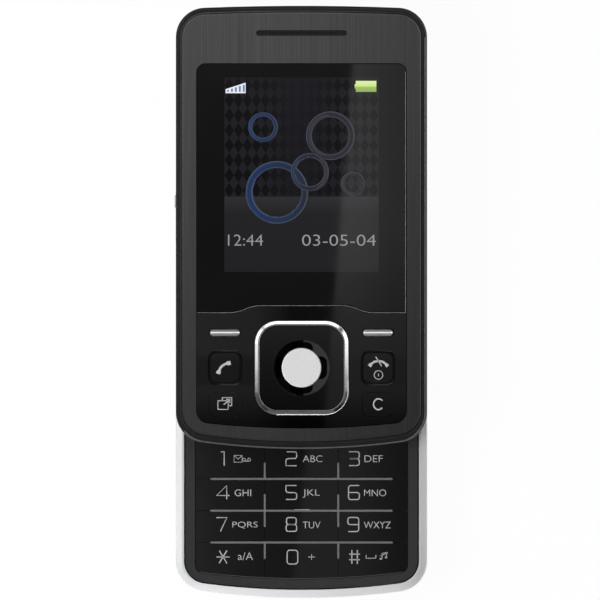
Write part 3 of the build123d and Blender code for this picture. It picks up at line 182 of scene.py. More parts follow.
def reflector(name, height, stops_x, stops_y):
    """A card that glows in reflections only, by the product of two ramps. Each stop is a place
    and a level, and the outer stops are the card's edges."""
    left, right, low, high = stops_x[0][0], stops_x[-1][0], stops_y[0][0], stops_y[-1][0]
    levels_x = [((place - left) / (right - left), level) for place, level in stops_x]
    levels_y = [((place - low) / (high - low), level) for place, level in stops_y]
    paint, tree = bare_paint(name)
    levels = ramp(tree, along(tree, "X", left, right), levels_x, smooth=True)
    levels = graded(tree, levels, along(tree, "Y", low, high), levels_y, smooth=True)
    light = new_node(tree, "ShaderNodeEmission")
    tree.links.new(levels, light.inputs["Color"])
    tree.links.new(light.outputs["Emission"], tree.nodes["Material Output"].inputs["Surface"])
    centre = ((left + right) / 2, (low + high) / 2, height)
    card = stage_plane(name, right - left, high - low, centre, paint)
    card.visible_camera = False
    card.visible_diffuse = False
    card.visible_shadow = False
    card.visible_transmission = False
    return card


reflector("overhead_card", 0.31, [(-0.08, 1.05), (0.08, 1.05)],
          [(-0.095, 0.10), (-0.03, 0.10), (-0.01, 0.06), (0.036, 0.08), (0.113, 0.27), (0.125, 0.27)])
# Two cards with a slanted left edge: one for the display and the key panel, and
# one for the number keys.
slant_x = [(0.0, 1.0), (0.008, 1.0), (0.024, 0.6), (0.09, 0.6)]
upper_slant = reflector("upper_slanted_card", 0.308, slant_x,
                        [(-0.0158, 0.30), (0.0, 0.32), (0.036, 0.76), (0.125, 0.80)])
lower_slant = reflector("lower_slanted_card", 0.308, slant_x, [(-0.095, 0.30), (-0.0158, 0.30)])
for card, head_x, foot_x in ((upper_slant, 0.0161, 0.0049), (lower_slant, 0.0016, -0.0066)):
    corners = sorted(card.data.vertices, key=lambda corner: corner.co.x)
    foot, head = sorted(corners[:2], key=lambda corner: corner.co.y)
    foot.co.x, head.co.x = foot_x, head_x
# A card at the left, and strips round the phone that are bright at its upper end.
reflector("near_card", 0.31, [(-0.074, 1.0), (-0.027, 1.0)], [(-0.065, 0.6), (0.065, 0.8)])
strip_y = [(-0.40, 0.09), (-0.003, 0.09), (0.003, 1.0), (0.40, 1.0)]
reflector("left_strip", 0.309, [(-1.20, 0.04), (-0.30, 0.05), (-0.25, 1.45), (-0.17, 1.45),
                                (-0.13, 0.5), (-0.10, 0.4)], strip_y)
reflector("right_strip", 0.309, [(0.09, 0.02), (0.165, 0.05), (0.185, 1.5), (0.235, 1.5),
                                 (0.26, 0.05)], strip_y)
reflector("head_strip", 0.307, [(-0.40, 0.9), (0.40, 0.9)],
          [(0.15, 0.1), (0.175, 1.7), (0.26, 1.7), (0.31, 0.05), (1.2, 0.05)])
reflector("foot_card", 0.12, [(-0.30, 0.5), (0.30, 0.5)], [(-0.90, 1.0), (-0.13, 1.0)])
reflector("right_card", 0.25, [(0.30, 2.4), (0.90, 2.4)], [(-0.40, 1.0), (0.40, 1.0)])
# Black cards on the table keep its white out of the upper half's left and upper edge.
reflector("left_flag", 0.001, [(-0.40, 0.03), (-0.026, 0.03)], [(-0.012, 1.0), (0.16, 1.0)])
reflector("head_flag", 0.0012, [(-0.40, 0.03), (0.06, 0.03)], [(0.072, 1.0), (0.40, 1.0)])

# ---------------------------------------------------------------- silver band
# The side wall of the lower half, moulded and painted silver with fine metal
# flakes. Its front edge slopes away to the outside.


def screen(red, green=None, blue=None):
    """A colour given as it shows on a screen, 0 to 255, as the linear values that paint needs.
    One number is a grey."""
    levels = [level / 255 for level in ((red, red, red) if green is None else (red, green, blue))]
    return tuple(v / 12.92 if v <= 0.04045 else ((v + 0.055) / 1.055) ** 2.4 for v in levels)


def new_finish(name, colour, roughness, metallic=0.0):
    """A material with one shader. Returns the material, its tree and the shader."""
    material = bpy.data.materials.new(name)
    material.use_nodes = True
    tree = material.node_tree
    surface = tree.nodes["Principled BSDF"]
    surface.inputs["Base Color"].default_value = (*colour, 1)
    surface.inputs["Roughness"].default_value = roughness
    surface.inputs["Metallic"].default_value = metallic
    return material, tree, surface


def across(tree, reach):
    """The place across the phone, from 0 at -reach to 1 at reach."""
    return along(tree, "X", -reach, reach)


def speckle(tree, size, stretch=(1, 1, 1), detail=2.0):
    """Noise with spots of about that size, drawn out along the axes by stretch."""
    place = new_node(tree, "ShaderNodeTexCoord")
    scale = new_node(tree, "ShaderNodeMapping")
    scale.inputs["Scale"].default_value = [1 / (size * s) for s in stretch]
    noise = new_node(tree, "ShaderNodeTexNoise")
    noise.inputs["Scale"].default_value = 1.0
    noise.inputs["Detail"].default_value = detail
    tree.links.new(place.outputs["Object"], scale.inputs["Vector"])
    tree.links.new(scale.outputs["Vector"], noise.inputs["Vector"])
    return noise.outputs["Fac"]


noise_low, noise_high = 0.3, 0.7  # the noise seldom leaves this range


def mottled(tree, spots, dark, light):
    """A colour that goes from dark to light with the spots."""
    return ramp(tree, spots, [(noise_low, dark), (noise_high, light)])


def tint(tree, surface, spots, dark, light, socket="Base Color"):
    """Lets a colour of the shader go from dark to light with the spots."""
    tree.links.new(mottled(tree, spots, dark, light), surface.inputs[socket])


def vary(tree, surface, spots, low, high):
    """Lets the roughness go from low to high with the spots."""
    span = new_node(tree, "ShaderNodeMapRange")
    limits = {"From Min": noise_low, "From Max": noise_high, "To Min": low, "To Max": high}
    for socket, value in limits.items():
        span.inputs[socket].default_value = value
    tree.links.new(spots, span.inputs["Value"])
    tree.links.new(span.outputs["Result"], surface.inputs["Roughness"])


def relief(tree, surface, spots, depth):
    """Raises and sinks the surface with the spots, by a depth in metres."""
    bump = new_node(tree, "ShaderNodeBump")
    bump.inputs["Strength"].default_value = 1.0
    bump.inputs["Distance"].default_value = depth
    tree.links.new(spots, bump.inputs["Height"])
    tree.links.new(bump.outputs["Normal"], surface.inputs["Normal"])


def dress(material, *names):
    """Gives CAD nodes a finish."""
    for name in names:
        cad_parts[name].material_slots[0].material = material


silver, tree, surface = new_finish("silver_paint", screen(216), roughness=0.34, metallic=0.35)
flakes_and_painted_light = mottled(tree, speckle(tree, 0.12 * mm), screen(210, 211, 213), screen(222, 222, 223))
# Painted light: the silver is lighter at the foot and at the left, and darker at the right.
flakes_and_painted_light = graded(tree, flakes_and_painted_light, along(tree, "Y", -42.0 * mm, -36.0 * mm),
                [(0.0, 1.27), (0.35, 1.23), (0.9, 0.93), (1.0, 0.93)])
flakes_and_painted_light = graded(tree, flakes_and_painted_light, across(tree, 24.0 * mm),
                [(0.0, 0.98), (0.1, 1.08), (0.5, 1.0), (0.9, 0.90), (1.0, 0.94)])
tree.links.new(flakes_and_painted_light, surface.inputs["Base Color"])
vary(tree, surface, speckle(tree, 9 * mm), 0.30, 0.38)
relief(tree, surface, speckle(tree, 0.2 * mm), 0.0015 * mm)
dress(silver, "lower_frame")

# ---------------------------------------------------------------- keypad bezel
# A thin plate inside the band, round the number pad, lacquered in a dark metallic
# colour. A bowed grey line along its edge at the keypad's foot is a painted highlight.
bezel, tree, surface = new_finish("bezel_metallic", screen(60), roughness=0.42, metallic=0.6)
tint(tree, surface, speckle(tree, 0.15 * mm), screen(57, 57, 58), screen(66, 66, 67))
vary(tree, surface, speckle(tree, 7 * mm), 0.38, 0.46)
relief(tree, surface, speckle(tree, 0.25 * mm), 0.001 * mm)
dress(bezel, "keypad_bezel")

ink_height = 0.015 * mm


def flatten_onto(piece, top):
    """Presses a printed piece flat, so that it lies on the face at height top."""
    for vertex in piece.data.vertices:
        vertex.co.z = top + ink_height * (1 if vertex.co.z > 0 else -1)


def pen_strokes(name, strokes, width, top, at=(0, 0)):
    """Lines of one width on the face at height top. A stroke is its points, in millimetres from
    at, and is closed where it ends at its first point. A third number makes a point that many
    times as wide."""
    curve = bpy.data.curves.new(name, "CURVE")
    curve.dimensions = "3D"
    curve.bevel_depth = width / 2 * mm
    curve.bevel_resolution = 1
    curve.use_fill_caps = True
    for stroke in strokes:
        closed = stroke[0] == stroke[-1]
        points = stroke[:-1] if closed else stroke
        line = curve.splines.new("POLY")
        line.points.add(len(points) - 1)
        line.use_cyclic_u = closed
        for dot, (x, y, *weight) in zip(line.points, points):
            dot.co = ((x + at[0]) * mm, (y + at[1]) * mm, 0, 1)
            dot.radius = weight[0] if weight else 1.0
    drawn = bpy.data.objects.new(name, curve)
    bpy.context.scene.collection.objects.link(drawn)
    select_nothing()
    drawn.select_set(True)
    bpy.context.view_layer.objects.active = drawn
    bpy.ops.object.convert(target="MESH")
    drawn = bpy.context.object
    flatten_onto(drawn, top)
    return drawn


def printed(name, body, material, parts):
    """Joins the parts of one print, and lets it ride on a body."""
    select_nothing()
    for part in parts:
        part.select_set(True)
    bpy.context.view_layer.objects.active = parts[0]
    if len(parts) > 1:
        bpy.ops.object.join()
    made = bpy.context.object
    made.name = name
    made.data.materials.clear()
    made.data.materials.append(material)
    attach(made, body)


def top_of(node):
    """The height of a CAD node's front."""
    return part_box(node)[1].z


# The bowed grey line at the keypad's foot is a painted highlight.
edge_reach, edge_low, edge_bow = 19.0, -37.80, 1.20
edge_steps = 12
edge_height = top_of("keypad_bezel") + 0.05 * mm
bezel_edge_highlight, tree, surface = new_finish("bezel_edge_highlight", screen(84), roughness=0.3, metallic=0.4)
tint(tree, surface, speckle(tree, 1 * mm), screen(78), screen(90))
shares = [step / edge_steps for step in range(-edge_steps, edge_steps + 1)]
bow = [(edge_reach * t, edge_low + edge_bow * t ** 2) for t in shares]
printed("bezel_edge_highlight", "base", bezel_edge_highlight, [pen_strokes("bezel_edge_highlight", [bow], 0.12, edge_height)])

# ---------------------------------------------------------------- number keys
# Twelve flat black caps with satin gloss, held by the rubber mat under them. Figures,
# letters and signs are printed in grey, and a short raised bar at the foot of the
# middle key tells the thumb where it is.
digits = "1234567890"
key_black, tree, surface = new_finish("key_cap_black", screen(18), roughness=0.035)
cap_tone_and_shade = mottled(tree, speckle(tree, 5 * mm), screen(15), screen(17))
# Painted reflection: the caps are lighter at the left and darker towards the right.
cap_tone_and_shade = graded(tree, cap_tone_and_shade, across(tree, 19.8 * mm),
               [(0.0, 2.1), (0.08, 1.6), (0.22, 1.2), (0.5, 0.65), (0.75, 0.6), (1.0, 0.1)])
tree.links.new(cap_tone_and_shade, surface.inputs["Base Color"])
vary(tree, surface, speckle(tree, 3 * mm), 0.03, 0.045)
dress(key_black, "key_star", "key_hash", *["key_" + digit for digit in digits])

print_grey, tree, surface = new_finish("key_print_grey", screen(168), roughness=0.45)
tint(tree, surface, speckle(tree, 0.3 * mm), screen(158), screen(172))
vary(tree, surface, speckle(tree, 1 * mm), 0.4, 0.5)


def box_line(x, y, far_x, far_y):
    """A closed stroke round a box, given by two opposite corners."""
    return [(x, y), (far_x, y), (far_x, far_y), (x, far_y), (x, y)]


def arc_line(x, y, radius, first, last, steps):
    """Part of a circle, as an open stroke. Angles are in degrees."""
    turns = [math.radians(first + (last - first) * i / steps) for i in range(steps + 1)]
    return [(x + radius * math.cos(t), y + radius * math.sin(t)) for t in turns]


def ring_line(x, y, radius, steps=14):
    """A circle, as a closed stroke."""
    line = arc_line(x, y, radius, 0, 360, steps)
    return line[:-1] + line[:1]


def rounded(stroke, radius, steps=5):
    """A stroke with its corners rounded. Only a closed one has a corner at its ends."""
    closed = stroke[0] == stroke[-1]
    corners = stroke[:-1] if closed else stroke
    made = []
    for i, corner in enumerate(corners):
        if not closed and i in (0, len(corners) - 1):
            made.append(corner)
            continue
        ends = []
        for other in (corners[i - 1], corners[(i + 1) % len(corners)]):
            dx, dy = other[0] - corner[0], other[1] - corner[1]
            reach = min(radius, math.hypot(dx, dy) / 2) / math.hypot(dx, dy)
            ends.append((corner[0] + dx * reach, corner[1] + dy * reach))
        for step in range(steps + 1):
            t = step / steps
            a, b, c = (1 - t) ** 2, 2 * t * (1 - t), t * t
            made.append(tuple(a * ends[0][k] + b * corner[k] + c * ends[1][k] for k in (0, 1)))
    return made + made[:1] if closed else made


def lettering(name, text, left, bottom, width, height, top):
    """Letters that fill a box of that width and height, on the face at height top."""
    select_nothing()
    bpy.ops.object.text_add()
    drawn = bpy.context.object
    drawn.name = name
    drawn.data.body = text
    drawn.data.extrude = 0.01
    drawn.data.offset = -0.008
    drawn.data.resolution_u = 4
    bpy.ops.object.convert(target="MESH")
    drawn = bpy.context.object
    spots = np.array([v.co for v in drawn.data.vertices])
    low, high = spots.min(0), spots.max(0)
    for vertex in drawn.data.vertices:
        vertex.co.x = (left + (vertex.co.x - low[0]) / (high[0] - low[0]) * width) * mm
        vertex.co.y = (bottom + (vertex.co.y - low[1]) / (high[1] - low[1]) * height) * mm
    flatten_onto(drawn, top)
    return drawn


cap_top = top_of("key_5")
wide, tall = 2.02, 2.62
half, bend = tall / 2, 0.5
figure_pen, mark_pen = 0.235, 0.16
figures = {
    "1": [[(0.05, tall - 0.05), (0.7, tall), (0.7, 0)]],
    "2": [rounded([(0.1, tall), (wide, tall), (wide, half), (0, half), (0, 0)], bend)
          + [(wide, 0)]],
    "3": [rounded([(0.05, tall), (wide, tall), (wide, half), (0.2, half)], bend),
          rounded([(0.2, half), (wide, half), (wide, 0), (0.05, 0)], bend)],
    "4": [[(1.92, 0), (1.92, tall), (0, 0.74), (2.45, 0.74)]],
    "5": [[(wide - 0.05, tall), (0, tall)]
          + rounded([(0, tall), (0, half), (wide, half), (wide, 0), (0, 0)], bend)[1:]],
    "6": [rounded([(wide - 0.05, tall), (0, tall), (0, 0), (wide, 0), (wide, half), (0, half)],
                  bend)],
    "7": [[(0, tall), (wide - 0.05, tall), (0.75, 0)]],
    "8": [rounded(box_line(0.08, tall, wide - 0.08, half), bend),
          rounded(box_line(0, half, wide, 0), bend)],
    "9": [rounded([(0.05, 0), (wide, 0), (wide, tall), (0, tall), (0, half), (wide, half)], bend)],
    "0": [rounded(box_line(0, tall, wide, 0), bend + 0.1)],
    "star": [[(0, half), (2.45, half)], [(0.5, 0.12), (1.95, tall - 0.12)],
             [(1.95, 0.12), (0.5, tall - 0.12)]],
    "hash": [[(0, 0.8), (wide, 0.8)], [(0, 1.85), (wide, 1.85)],
             [(0.52, 0), (0.52, tall)], [(1.55, 0), (1.55, tall)]],
}
# left edge and foot of each figure, then its letters with the left, foot, width and
# height of their box
prints = {
    "1": (-15.20, -16.62, None),
    "2": (-2.90, -16.62, ("ABC", 0.24, -15.95, 3.68, 1.26)),
    "3": (8.85, -16.62, ("DEF", 11.80, -15.95, 3.45, 1.26)),
    "4": (-15.95, -22.98, ("GHI", -12.55, -22.36, 3.10, 1.26)),
    "5": (-2.90, -22.98, ("JKL", 0.24, -22.64, 3.20, 1.54)),
    "6": (8.85, -22.98, ("MNO", 11.75, -22.36, 4.15, 1.26)),
    "7": (-15.95, -28.98, ("PQRS", -12.98, -28.42, 4.75, 1.28)),
    "8": (-2.90, -28.98, ("TUV", 0.24, -28.40, 3.30, 1.26)),
    "9": (8.72, -28.98, ("WXYZ", 11.70, -28.40, 5.05, 1.26)),
    "star": (-15.95, -35.07, ("a/A", -11.95, -34.32, 2.85, 1.40)),
    "0": (-2.70, -35.10, None),
    "hash": (8.95, -35.07, None),
}
# an envelope beside a tape, a plus, and a space bar beside two notes that are struck out
marks = {
    "1": [box_line(-12.65, -15.95, -11.15, -14.70),
          [(-12.65, -14.75), (-11.87, -15.40), (-11.15, -14.70)],
          [(-11.00, -15.78), (-9.75, -15.78)],
          ring_line(-10.80, -15.50, 0.28), ring_line(-9.82, -15.50, 0.28)],
    "0": [[(1.30, -33.75), (2.50, -33.75)], [(1.90, -34.32), (1.90, -33.18)]],
    "hash": [[(12.15, -33.40), (12.15, -34.00), (13.95, -34.00), (13.95, -33.40)],
             [(15.15, -34.05), (15.15, -33.10), (15.98, -32.88), (15.98, -33.80)],
             [(14.85, -33.60), (16.20, -32.95)],
             ring_line(14.88, -34.12, 0.14, 8), ring_line(15.88, -33.86, 0.14, 8)],
}
for figure, (left, foot, letters) in prints.items():
    parts = [pen_strokes("figure", figures[figure], figure_pen, cap_top, (left, foot))]
    if letters:
        parts.append(lettering("letters", *letters, cap_top))
    if figure in marks:
        parts.append(pen_strokes("mark", marks[figure], mark_pen, cap_top))
    printed("print_" + figure, "key_" + figure, print_grey, parts)

# The raised bar is drawn as a light grey line, a painted highlight where it catches the light.
locator_highlight, tree, surface = new_finish("locator_painted_highlight", screen(205), roughness=0.3)
tint(tree, surface, speckle(tree, 0.3 * mm), screen(196), screen(214))
printed("locator_bar", "key_5", locator_highlight,
        [pen_strokes("locator_bar", [[(-1.3, -24.93), (1.55, -24.93)]], 0.22, cap_top)])

# ---------------------------------------------------------------- keypad mat
# One sheet of grey silicone rubber under the number keys, whose ribs show as the
# lines between them. The keys of the upper half stand on a mat of the same rubber.
silicone, tree, surface = new_finish("silicone_grey", screen(102), roughness=0.55)
tint(tree, surface, speckle(tree, 0.5 * mm), screen(94), screen(106))
vary(tree, surface, speckle(tree, 2 * mm), 0.5, 0.62)
relief(tree, surface, speckle(tree, 0.15 * mm), 0.002 * mm)
dress(silicone, "keypad_mat", "upper_keymat")

# ---------------------------------------------------------------- rim of the upper half
# A gloss black frame, moulded in one piece. A grey line on its outer round at the right
# side and the foot is a painted highlight.
rim_black, tree, surface = new_finish("rim_gloss_black", screen(34), roughness=0.18)
surface.inputs["Specular IOR Level"].default_value = 0.35
tint(tree, surface, speckle(tree, 6 * mm), screen(20), screen(25))
vary(tree, surface, speckle(tree, 4 * mm), 0.14, 0.24)
relief(tree, surface, speckle(tree, 0.5 * mm), 0.0004 * mm)
dress(rim_black, "upper_rim")

least_step = 0.02  # points of an outline that lie closer than this count as one


def node_outline(name, grow):
    """The outline of a CAD node seen from the front, moved outward by grow millimetres."""
    spots = [v.co.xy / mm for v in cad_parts[name].data.vertices]
    line = [spots[i] for i in convex_hull_2d(spots)]
    line = [spot for spot, last in zip(line, line[-1:] + line) if (spot - last).length > least_step]
    moved = []
    for i, spot in enumerate(line):
        edge = line[(i + 1) % len(line)] - line[i - 1]
        moved.append((spot.x + edge.y / edge.length * grow, spot.y - edge.x / edge.length * grow))
    return moved


# A grey line on the rim's outer round is a painted highlight, darker towards the foot.
rim_glint_paint, tree, surface = new_finish("rim_painted_highlight", screen(84), roughness=0.35)
lit_grey = mottled(tree, speckle(tree, 1 * mm), screen(90), screen(99))
lit_grey = graded(tree, lit_grey, along(tree, "Y", -13.5 * mm, 0.0), [(0.0, 0.62), (0.4, 0.7), (1.0, 1.0)])
tree.links.new(lit_grey, surface.inputs["Base Color"])

# The line runs round two sides, and goes thinner and a little further out at the foot.
glint_left, glint_head = -22.0, 64.0
right_side, foot_side = 22.6, -8.0
turn_start, turn_length, foot_shift = -4.0, 5.0, 0.2
thin_start, side_weight, foot_weight = -6.0, 0.95, 0.7


def on_glint(x, y):
    """Whether a point of the rim lies under the painted highlight."""
    return x > glint_left and y < glint_head and (x > right_side or y < foot_side)


def glint_point(x, y):
    """A point of the painted highlight line, with the weight of the line there."""
    turned_share = min(1.0, max(0.0, (turn_start - y) / turn_length))
    return x, y - foot_shift * turned_share, foot_weight if y < thin_start else side_weight


rim_line = [spot for spot in node_outline("upper_rim", -0.46) if on_glint(*spot)]
start = rim_line.index(min(rim_line))
rim_line = [glint_point(*spot) for spot in rim_line[start:] + rim_line[:start]]
printed("rim_highlight", "slide", rim_glint_paint,
        [pen_strokes("rim_highlight", [rim_line], 0.40, top_of("upper_rim") - ink_height)])

# ---------------------------------------------------------------- front plate
# Thin aluminium, brushed along the phone and dyed dark grey. Painted shade makes it lighter
# towards the earpiece and the left and darker at the right. The grey line in the groove round it is
# painted light.
plate_foot, plate_head = -13.0 * mm, 69.0 * mm
brushed, tree, surface = new_finish("brushed_dark", screen(80), roughness=0.36, metallic=0.85)
surface.inputs["Anisotropic"].default_value = 0.5
fine = speckle(tree, 0.09 * mm, stretch=(1, 300, 1), detail=3.0)
brushed_and_shaded = mottled(tree, fine, screen(86, 86, 87), screen(105, 105, 106))
# Painted shade: darker towards the foot and at the right.
brushed_and_shaded = graded(tree, brushed_and_shaded, along(tree, "Y", plate_foot, plate_head),
             [(0.0, 0.62), (0.19, 0.68), (0.35, 0.80), (0.75, 0.98), (1.0, 1.0)])
brushed_and_shaded = graded(tree, brushed_and_shaded, across(tree, 23.0 * mm), [(0.0, 1.02), (0.4, 0.98), (0.85, 0.80), (1.0, 0.72)])
tree.links.new(brushed_and_shaded, surface.inputs["Base Color"])
vary(tree, surface, speckle(tree, 0.2 * mm, stretch=(1, 200, 1)), 0.32, 0.40)
relief(tree, surface, fine, 0.001 * mm)
dress(brushed, "front_plate")

groove_light_depth = 0.12 * mm
# Painted light and shade: a grey line in the groove, lighter at the left and the head, near black at
# the right and the foot.
groove_light, tree, surface = new_finish("groove_painted_light", screen(60), roughness=0.6)
lit_grey = mottled(tree, speckle(tree, 0.4 * mm), screen(62), screen(72))
lit_grey = graded(tree, lit_grey, across(tree, 22.6 * mm), [(0.0, 1.0), (0.7, 0.6), (1.0, 0.1)])
lit_grey = graded(tree, lit_grey, along(tree, "Y", plate_foot, plate_head),
              [(0.0, 0.05), (0.2, 0.5), (1.0, 1.2)])
tree.links.new(lit_grey, surface.inputs["Base Color"])
groove = node_outline("front_plate", 0.06)
printed("groove_painted_light", "slide", groove_light,
        [pen_strokes("groove_light", [groove + groove[:1]], 0.20, top_of("front_plate") - groove_light_depth)])

# ---------------------------------------------------------------- window
# Black acrylic, polished to a high gloss. Light grey lines along its edge towards the key
# panel and along the one at the right are painted highlights.


def polish(tree, surface):
    """Leaves the faint unevenness of a polished face."""
    vary(tree, surface, speckle(tree, 5 * mm), 0.025, 0.04)


window_black, tree, surface = new_finish("window_black", screen(10), roughness=0.06)
tint(tree, surface, speckle(tree, 12 * mm), screen(9), screen(12))
polish(tree, surface)
dress(window_black, "display_window")

glass_top = top_of("display_window")
seam_side, seam_middle, side_top = 12.10, 13.42, 57.2
# The light grey lines along the window's edges are painted highlights.
window_glint, tree, surface = new_finish("window_edge_highlight", screen(120), roughness=0.2)
tint(tree, surface, speckle(tree, 2 * mm), screen(104), screen(128))
seam = rounded([(-19.50, seam_side), (-12.00, seam_side), (-9.15, seam_middle),
                (9.15, seam_middle), (12.00, seam_side), (19.52, seam_side)], 1.6)
printed("window_edge", "slide", window_glint,
        [pen_strokes("window_edge", [seam], 0.10, glass_top),
         pen_strokes("window_side", [[(19.47, seam_side), (19.47, side_top)]], 0.12, glass_top)])

# ---------------------------------------------------------------- picture on the display
# What the lit display shows through the window: a dark wallpaper of rings over a
# faint lattice, signal bars, a battery sign, the time and the date.


def lit(name, roughness=0.06):
    """A material that glows under the gloss of the window."""
    material, tree, surface = new_finish(name, screen(6), roughness)
    surface.inputs["Emission Strength"].default_value = 1.0
    return material, tree, surface


def mixed(tree, share, first, second):
    """The first colour where the share is 0, and the second where it is 1."""
    mix = new_node(tree, "ShaderNodeMix", data_type="RGBA")
    for socket, source in (("Factor", share), ("A", first), ("B", second)):
        tree.links.new(source, mix.inputs[socket])
    return mix.outputs["Result"]


picture_reach = 14.43 * mm
picture_low, picture_high = 19.72 * mm, 56.06 * mm
select_nothing()
bpy.ops.mesh.primitive_plane_add(size=1)
picture = bpy.context.object
picture.scale = (2 * picture_reach, picture_high - picture_low, 1)
picture.location = (0, (picture_low + picture_high) / 2, glass_top)
bpy.ops.object.transform_apply(location=True, rotation=True, scale=True)
solidify = picture.modifiers.new("thickness", "SOLIDIFY")
solidify.thickness = 0.02 * mm
solidify.offset = 0
bpy.ops.object.modifier_apply(modifier="thickness")
wallpaper, tree, surface = lit("display_wallpaper")
place = new_node(tree, "ShaderNodeTexCoord")
squeeze = new_node(tree, "ShaderNodeMapping")
squeeze.inputs["Scale"].default_value = (1.66, 1.0, 1.0)
turn = new_node(tree, "ShaderNodeMapping")
turn.inputs["Rotation"].default_value = (0, 0, math.radians(45))
lattice = new_node(tree, "ShaderNodeTexChecker")
lattice.inputs["Scale"].default_value = 505.0
lattice.inputs["Color1"].default_value = (*screen(1, 1, 2), 1)
lattice.inputs["Color2"].default_value = (*screen(25, 25, 31), 1)
tree.links.new(place.outputs["Object"], squeeze.inputs["Vector"])
tree.links.new(squeeze.outputs["Vector"], turn.inputs["Vector"])
tree.links.new(turn.outputs["Vector"], lattice.inputs["Vector"])
upward = along(tree, "Y", picture_low, picture_high)
ground = ramp(tree, upward, [(0.0, screen(27, 27, 29)), (0.30, screen(30, 30, 32)),
                             (0.386, screen(43, 43, 46)), (0.39, screen(18, 18, 23)),
                             (1.0, screen(21, 21, 27))])
above = ramp(tree, upward, [(0.388, 0.0), (0.392, 1.0), (0.85, 1.0), (1.0, 0.7)])
above = graded(tree, above, across(tree, picture_reach),
               [(0.0, 1.0), (0.25, 0.8), (0.45, 0.1), (0.6, 0.3), (0.8, 1.0), (1.0, 1.0)])
tree.links.new(mixed(tree, above, ground, lattice.outputs["Color"]), surface.inputs["Emission Color"])
polish(tree, surface)
printed("display_picture", "slide", wallpaper, [picture])

# Rings that cross lie at different heights, one step apart.
picture_top = glass_top + 0.01 * mm
first_ring, ring_step = 0.012 * mm, 0.004 * mm
wheels = [(-4.6, 34.6, 5.2), (5.4, 45.2, 4.0), (1.6, 38.4, 3.1), (-7.2, 46.8, 2.4), (9.6, 36.2, 1.9)]
ring_paint, tree, surface = lit("wallpaper_rings")
hues = ramp(tree, across(tree, 9.0 * mm), [(0.0, screen(28, 50, 86)), (0.45, screen(32, 44, 66)),
                                           (0.6, screen(38, 38, 50)), (1.0, screen(44, 44, 52))])
tree.links.new(hues, surface.inputs["Emission Color"])
polish(tree, surface)
printed("wallpaper_rings", "slide", ring_paint,
        [pen_strokes("wheel", [ring_line(x, y, radius, 72)], 0.42 * radius ** 0.7,
                     picture_top + first_ring + i * ring_step)
         for i, (x, y, radius) in enumerate(wheels)])

sign_top = picture_top + 0.02 * mm
sign_paint, tree, surface = lit("display_figures", 0.2)
tint(tree, surface, speckle(tree, 2 * mm), screen(142, 142, 148), screen(150, 150, 156),
     "Emission Color")
printed("display_figures", "slide", sign_paint,
        [lettering("time", "12:44", -13.75, 24.62, 6.55, 2.10, sign_top),
         lettering("date", "03-05-04", 0.10, 24.60, 13.80, 2.10, sign_top)])


def plate(name, left, low, right, high, top, lift=0.0):
    """A flat plate on the face at height top. Its edges are in millimetres, and its right end
    reaches higher by lift."""
    select_nothing()
    bpy.ops.mesh.primitive_cube_add(size=1)
    drawn = bpy.context.object
    drawn.name = name
    for corner in drawn.data.vertices:
        at_right, at_top = corner.co.x > 0, corner.co.y > 0
        corner.co.x = (right if at_right else left) * mm
        corner.co.y = (high + lift * at_right if at_top else low) * mm
    flatten_onto(drawn, top)
    return drawn


bar_white, tree, surface = lit("signal_white", 0.2)
tint(tree, surface, speckle(tree, 2 * mm), screen(226, 232, 240), screen(236, 240, 246),
     "Emission Color")
printed("signal_sign", "slide", bar_white,
        [plate("signal_sign", -14.20, 53.15, -10.45, 53.90, sign_top, 1.22)])

bar_count, bar_left, bar_width, bar_pitch = 5, -13.93, 0.36, 0.74
bar_low, bar_height, bar_growth = 53.40, 0.32, 0.24
bar_blue, tree, surface = lit("signal_blue", 0.2)
tint(tree, surface, speckle(tree, 2 * mm), screen(96, 122, 160), screen(108, 132, 168),
     "Emission Color")
bars = []
for i in range(bar_count):
    left = bar_left + bar_pitch * i
    bars.append(plate("signal_bar", left, bar_low, left + bar_width,
                      bar_low + bar_height + bar_growth * i, sign_top + 0.01 * mm, 0.06))
printed("signal_bars", "slide", bar_blue, bars)

cell_low, cell_high = 53.40, 55.45
cell_green, tree, surface = lit("battery_green", 0.2)
greens = ramp(tree, along(tree, "Y", cell_low * mm, cell_high * mm),
              [(0.0, screen(146, 178, 92)), (0.42, screen(158, 190, 98)),
               (0.52, screen(204, 228, 140)), (1.0, screen(220, 244, 172))])
tree.links.new(greens, surface.inputs["Emission Color"])
printed("battery_sign", "slide", cell_green,
        [plate("cell", 10.15, cell_low, 14.00, cell_high, sign_top),
         plate("cell_pole", 9.95, 54.00, 10.15, 54.85, sign_top)])

# ---------------------------------------------------------------- key panel
# Black acrylic like the window, with openings for the keys. Four of the keys have
# caps of the same plastic, with their signs printed in light grey.
panel_black, tree, surface = new_finish("panel_black", screen(12), roughness=0.07)
# Painted shade: the panel is darker towards its foot and in the middle, and lighter at the left.
down = along(tree, "Y", -8.5 * mm, 12.5 * mm)
shade = ramp(tree, down, [(0.0, screen(12)), (0.30, screen(28)), (0.37, screen(21)),
                          (0.55, screen(22)), (0.63, screen(30)), (1.0, screen(30))])
shade = graded(tree, shade, across(tree, 19.65 * mm),
               [(0.0, 1.0), (0.28, 0.85), (0.45, 0.1), (0.6, 0.1), (0.72, 0.35), (1.0, 0.55)])
tree.links.new(shade, surface.inputs["Base Color"])
tree.links.new(ramp(tree, down, [(0.0, 0.16), (0.4, 0.42), (0.7, 0.50)]),
               surface.inputs["Specular IOR Level"])
polish(tree, surface)
dress(panel_black, "control_panel", "call_key", "end_key", "activity_key", "clear_key")

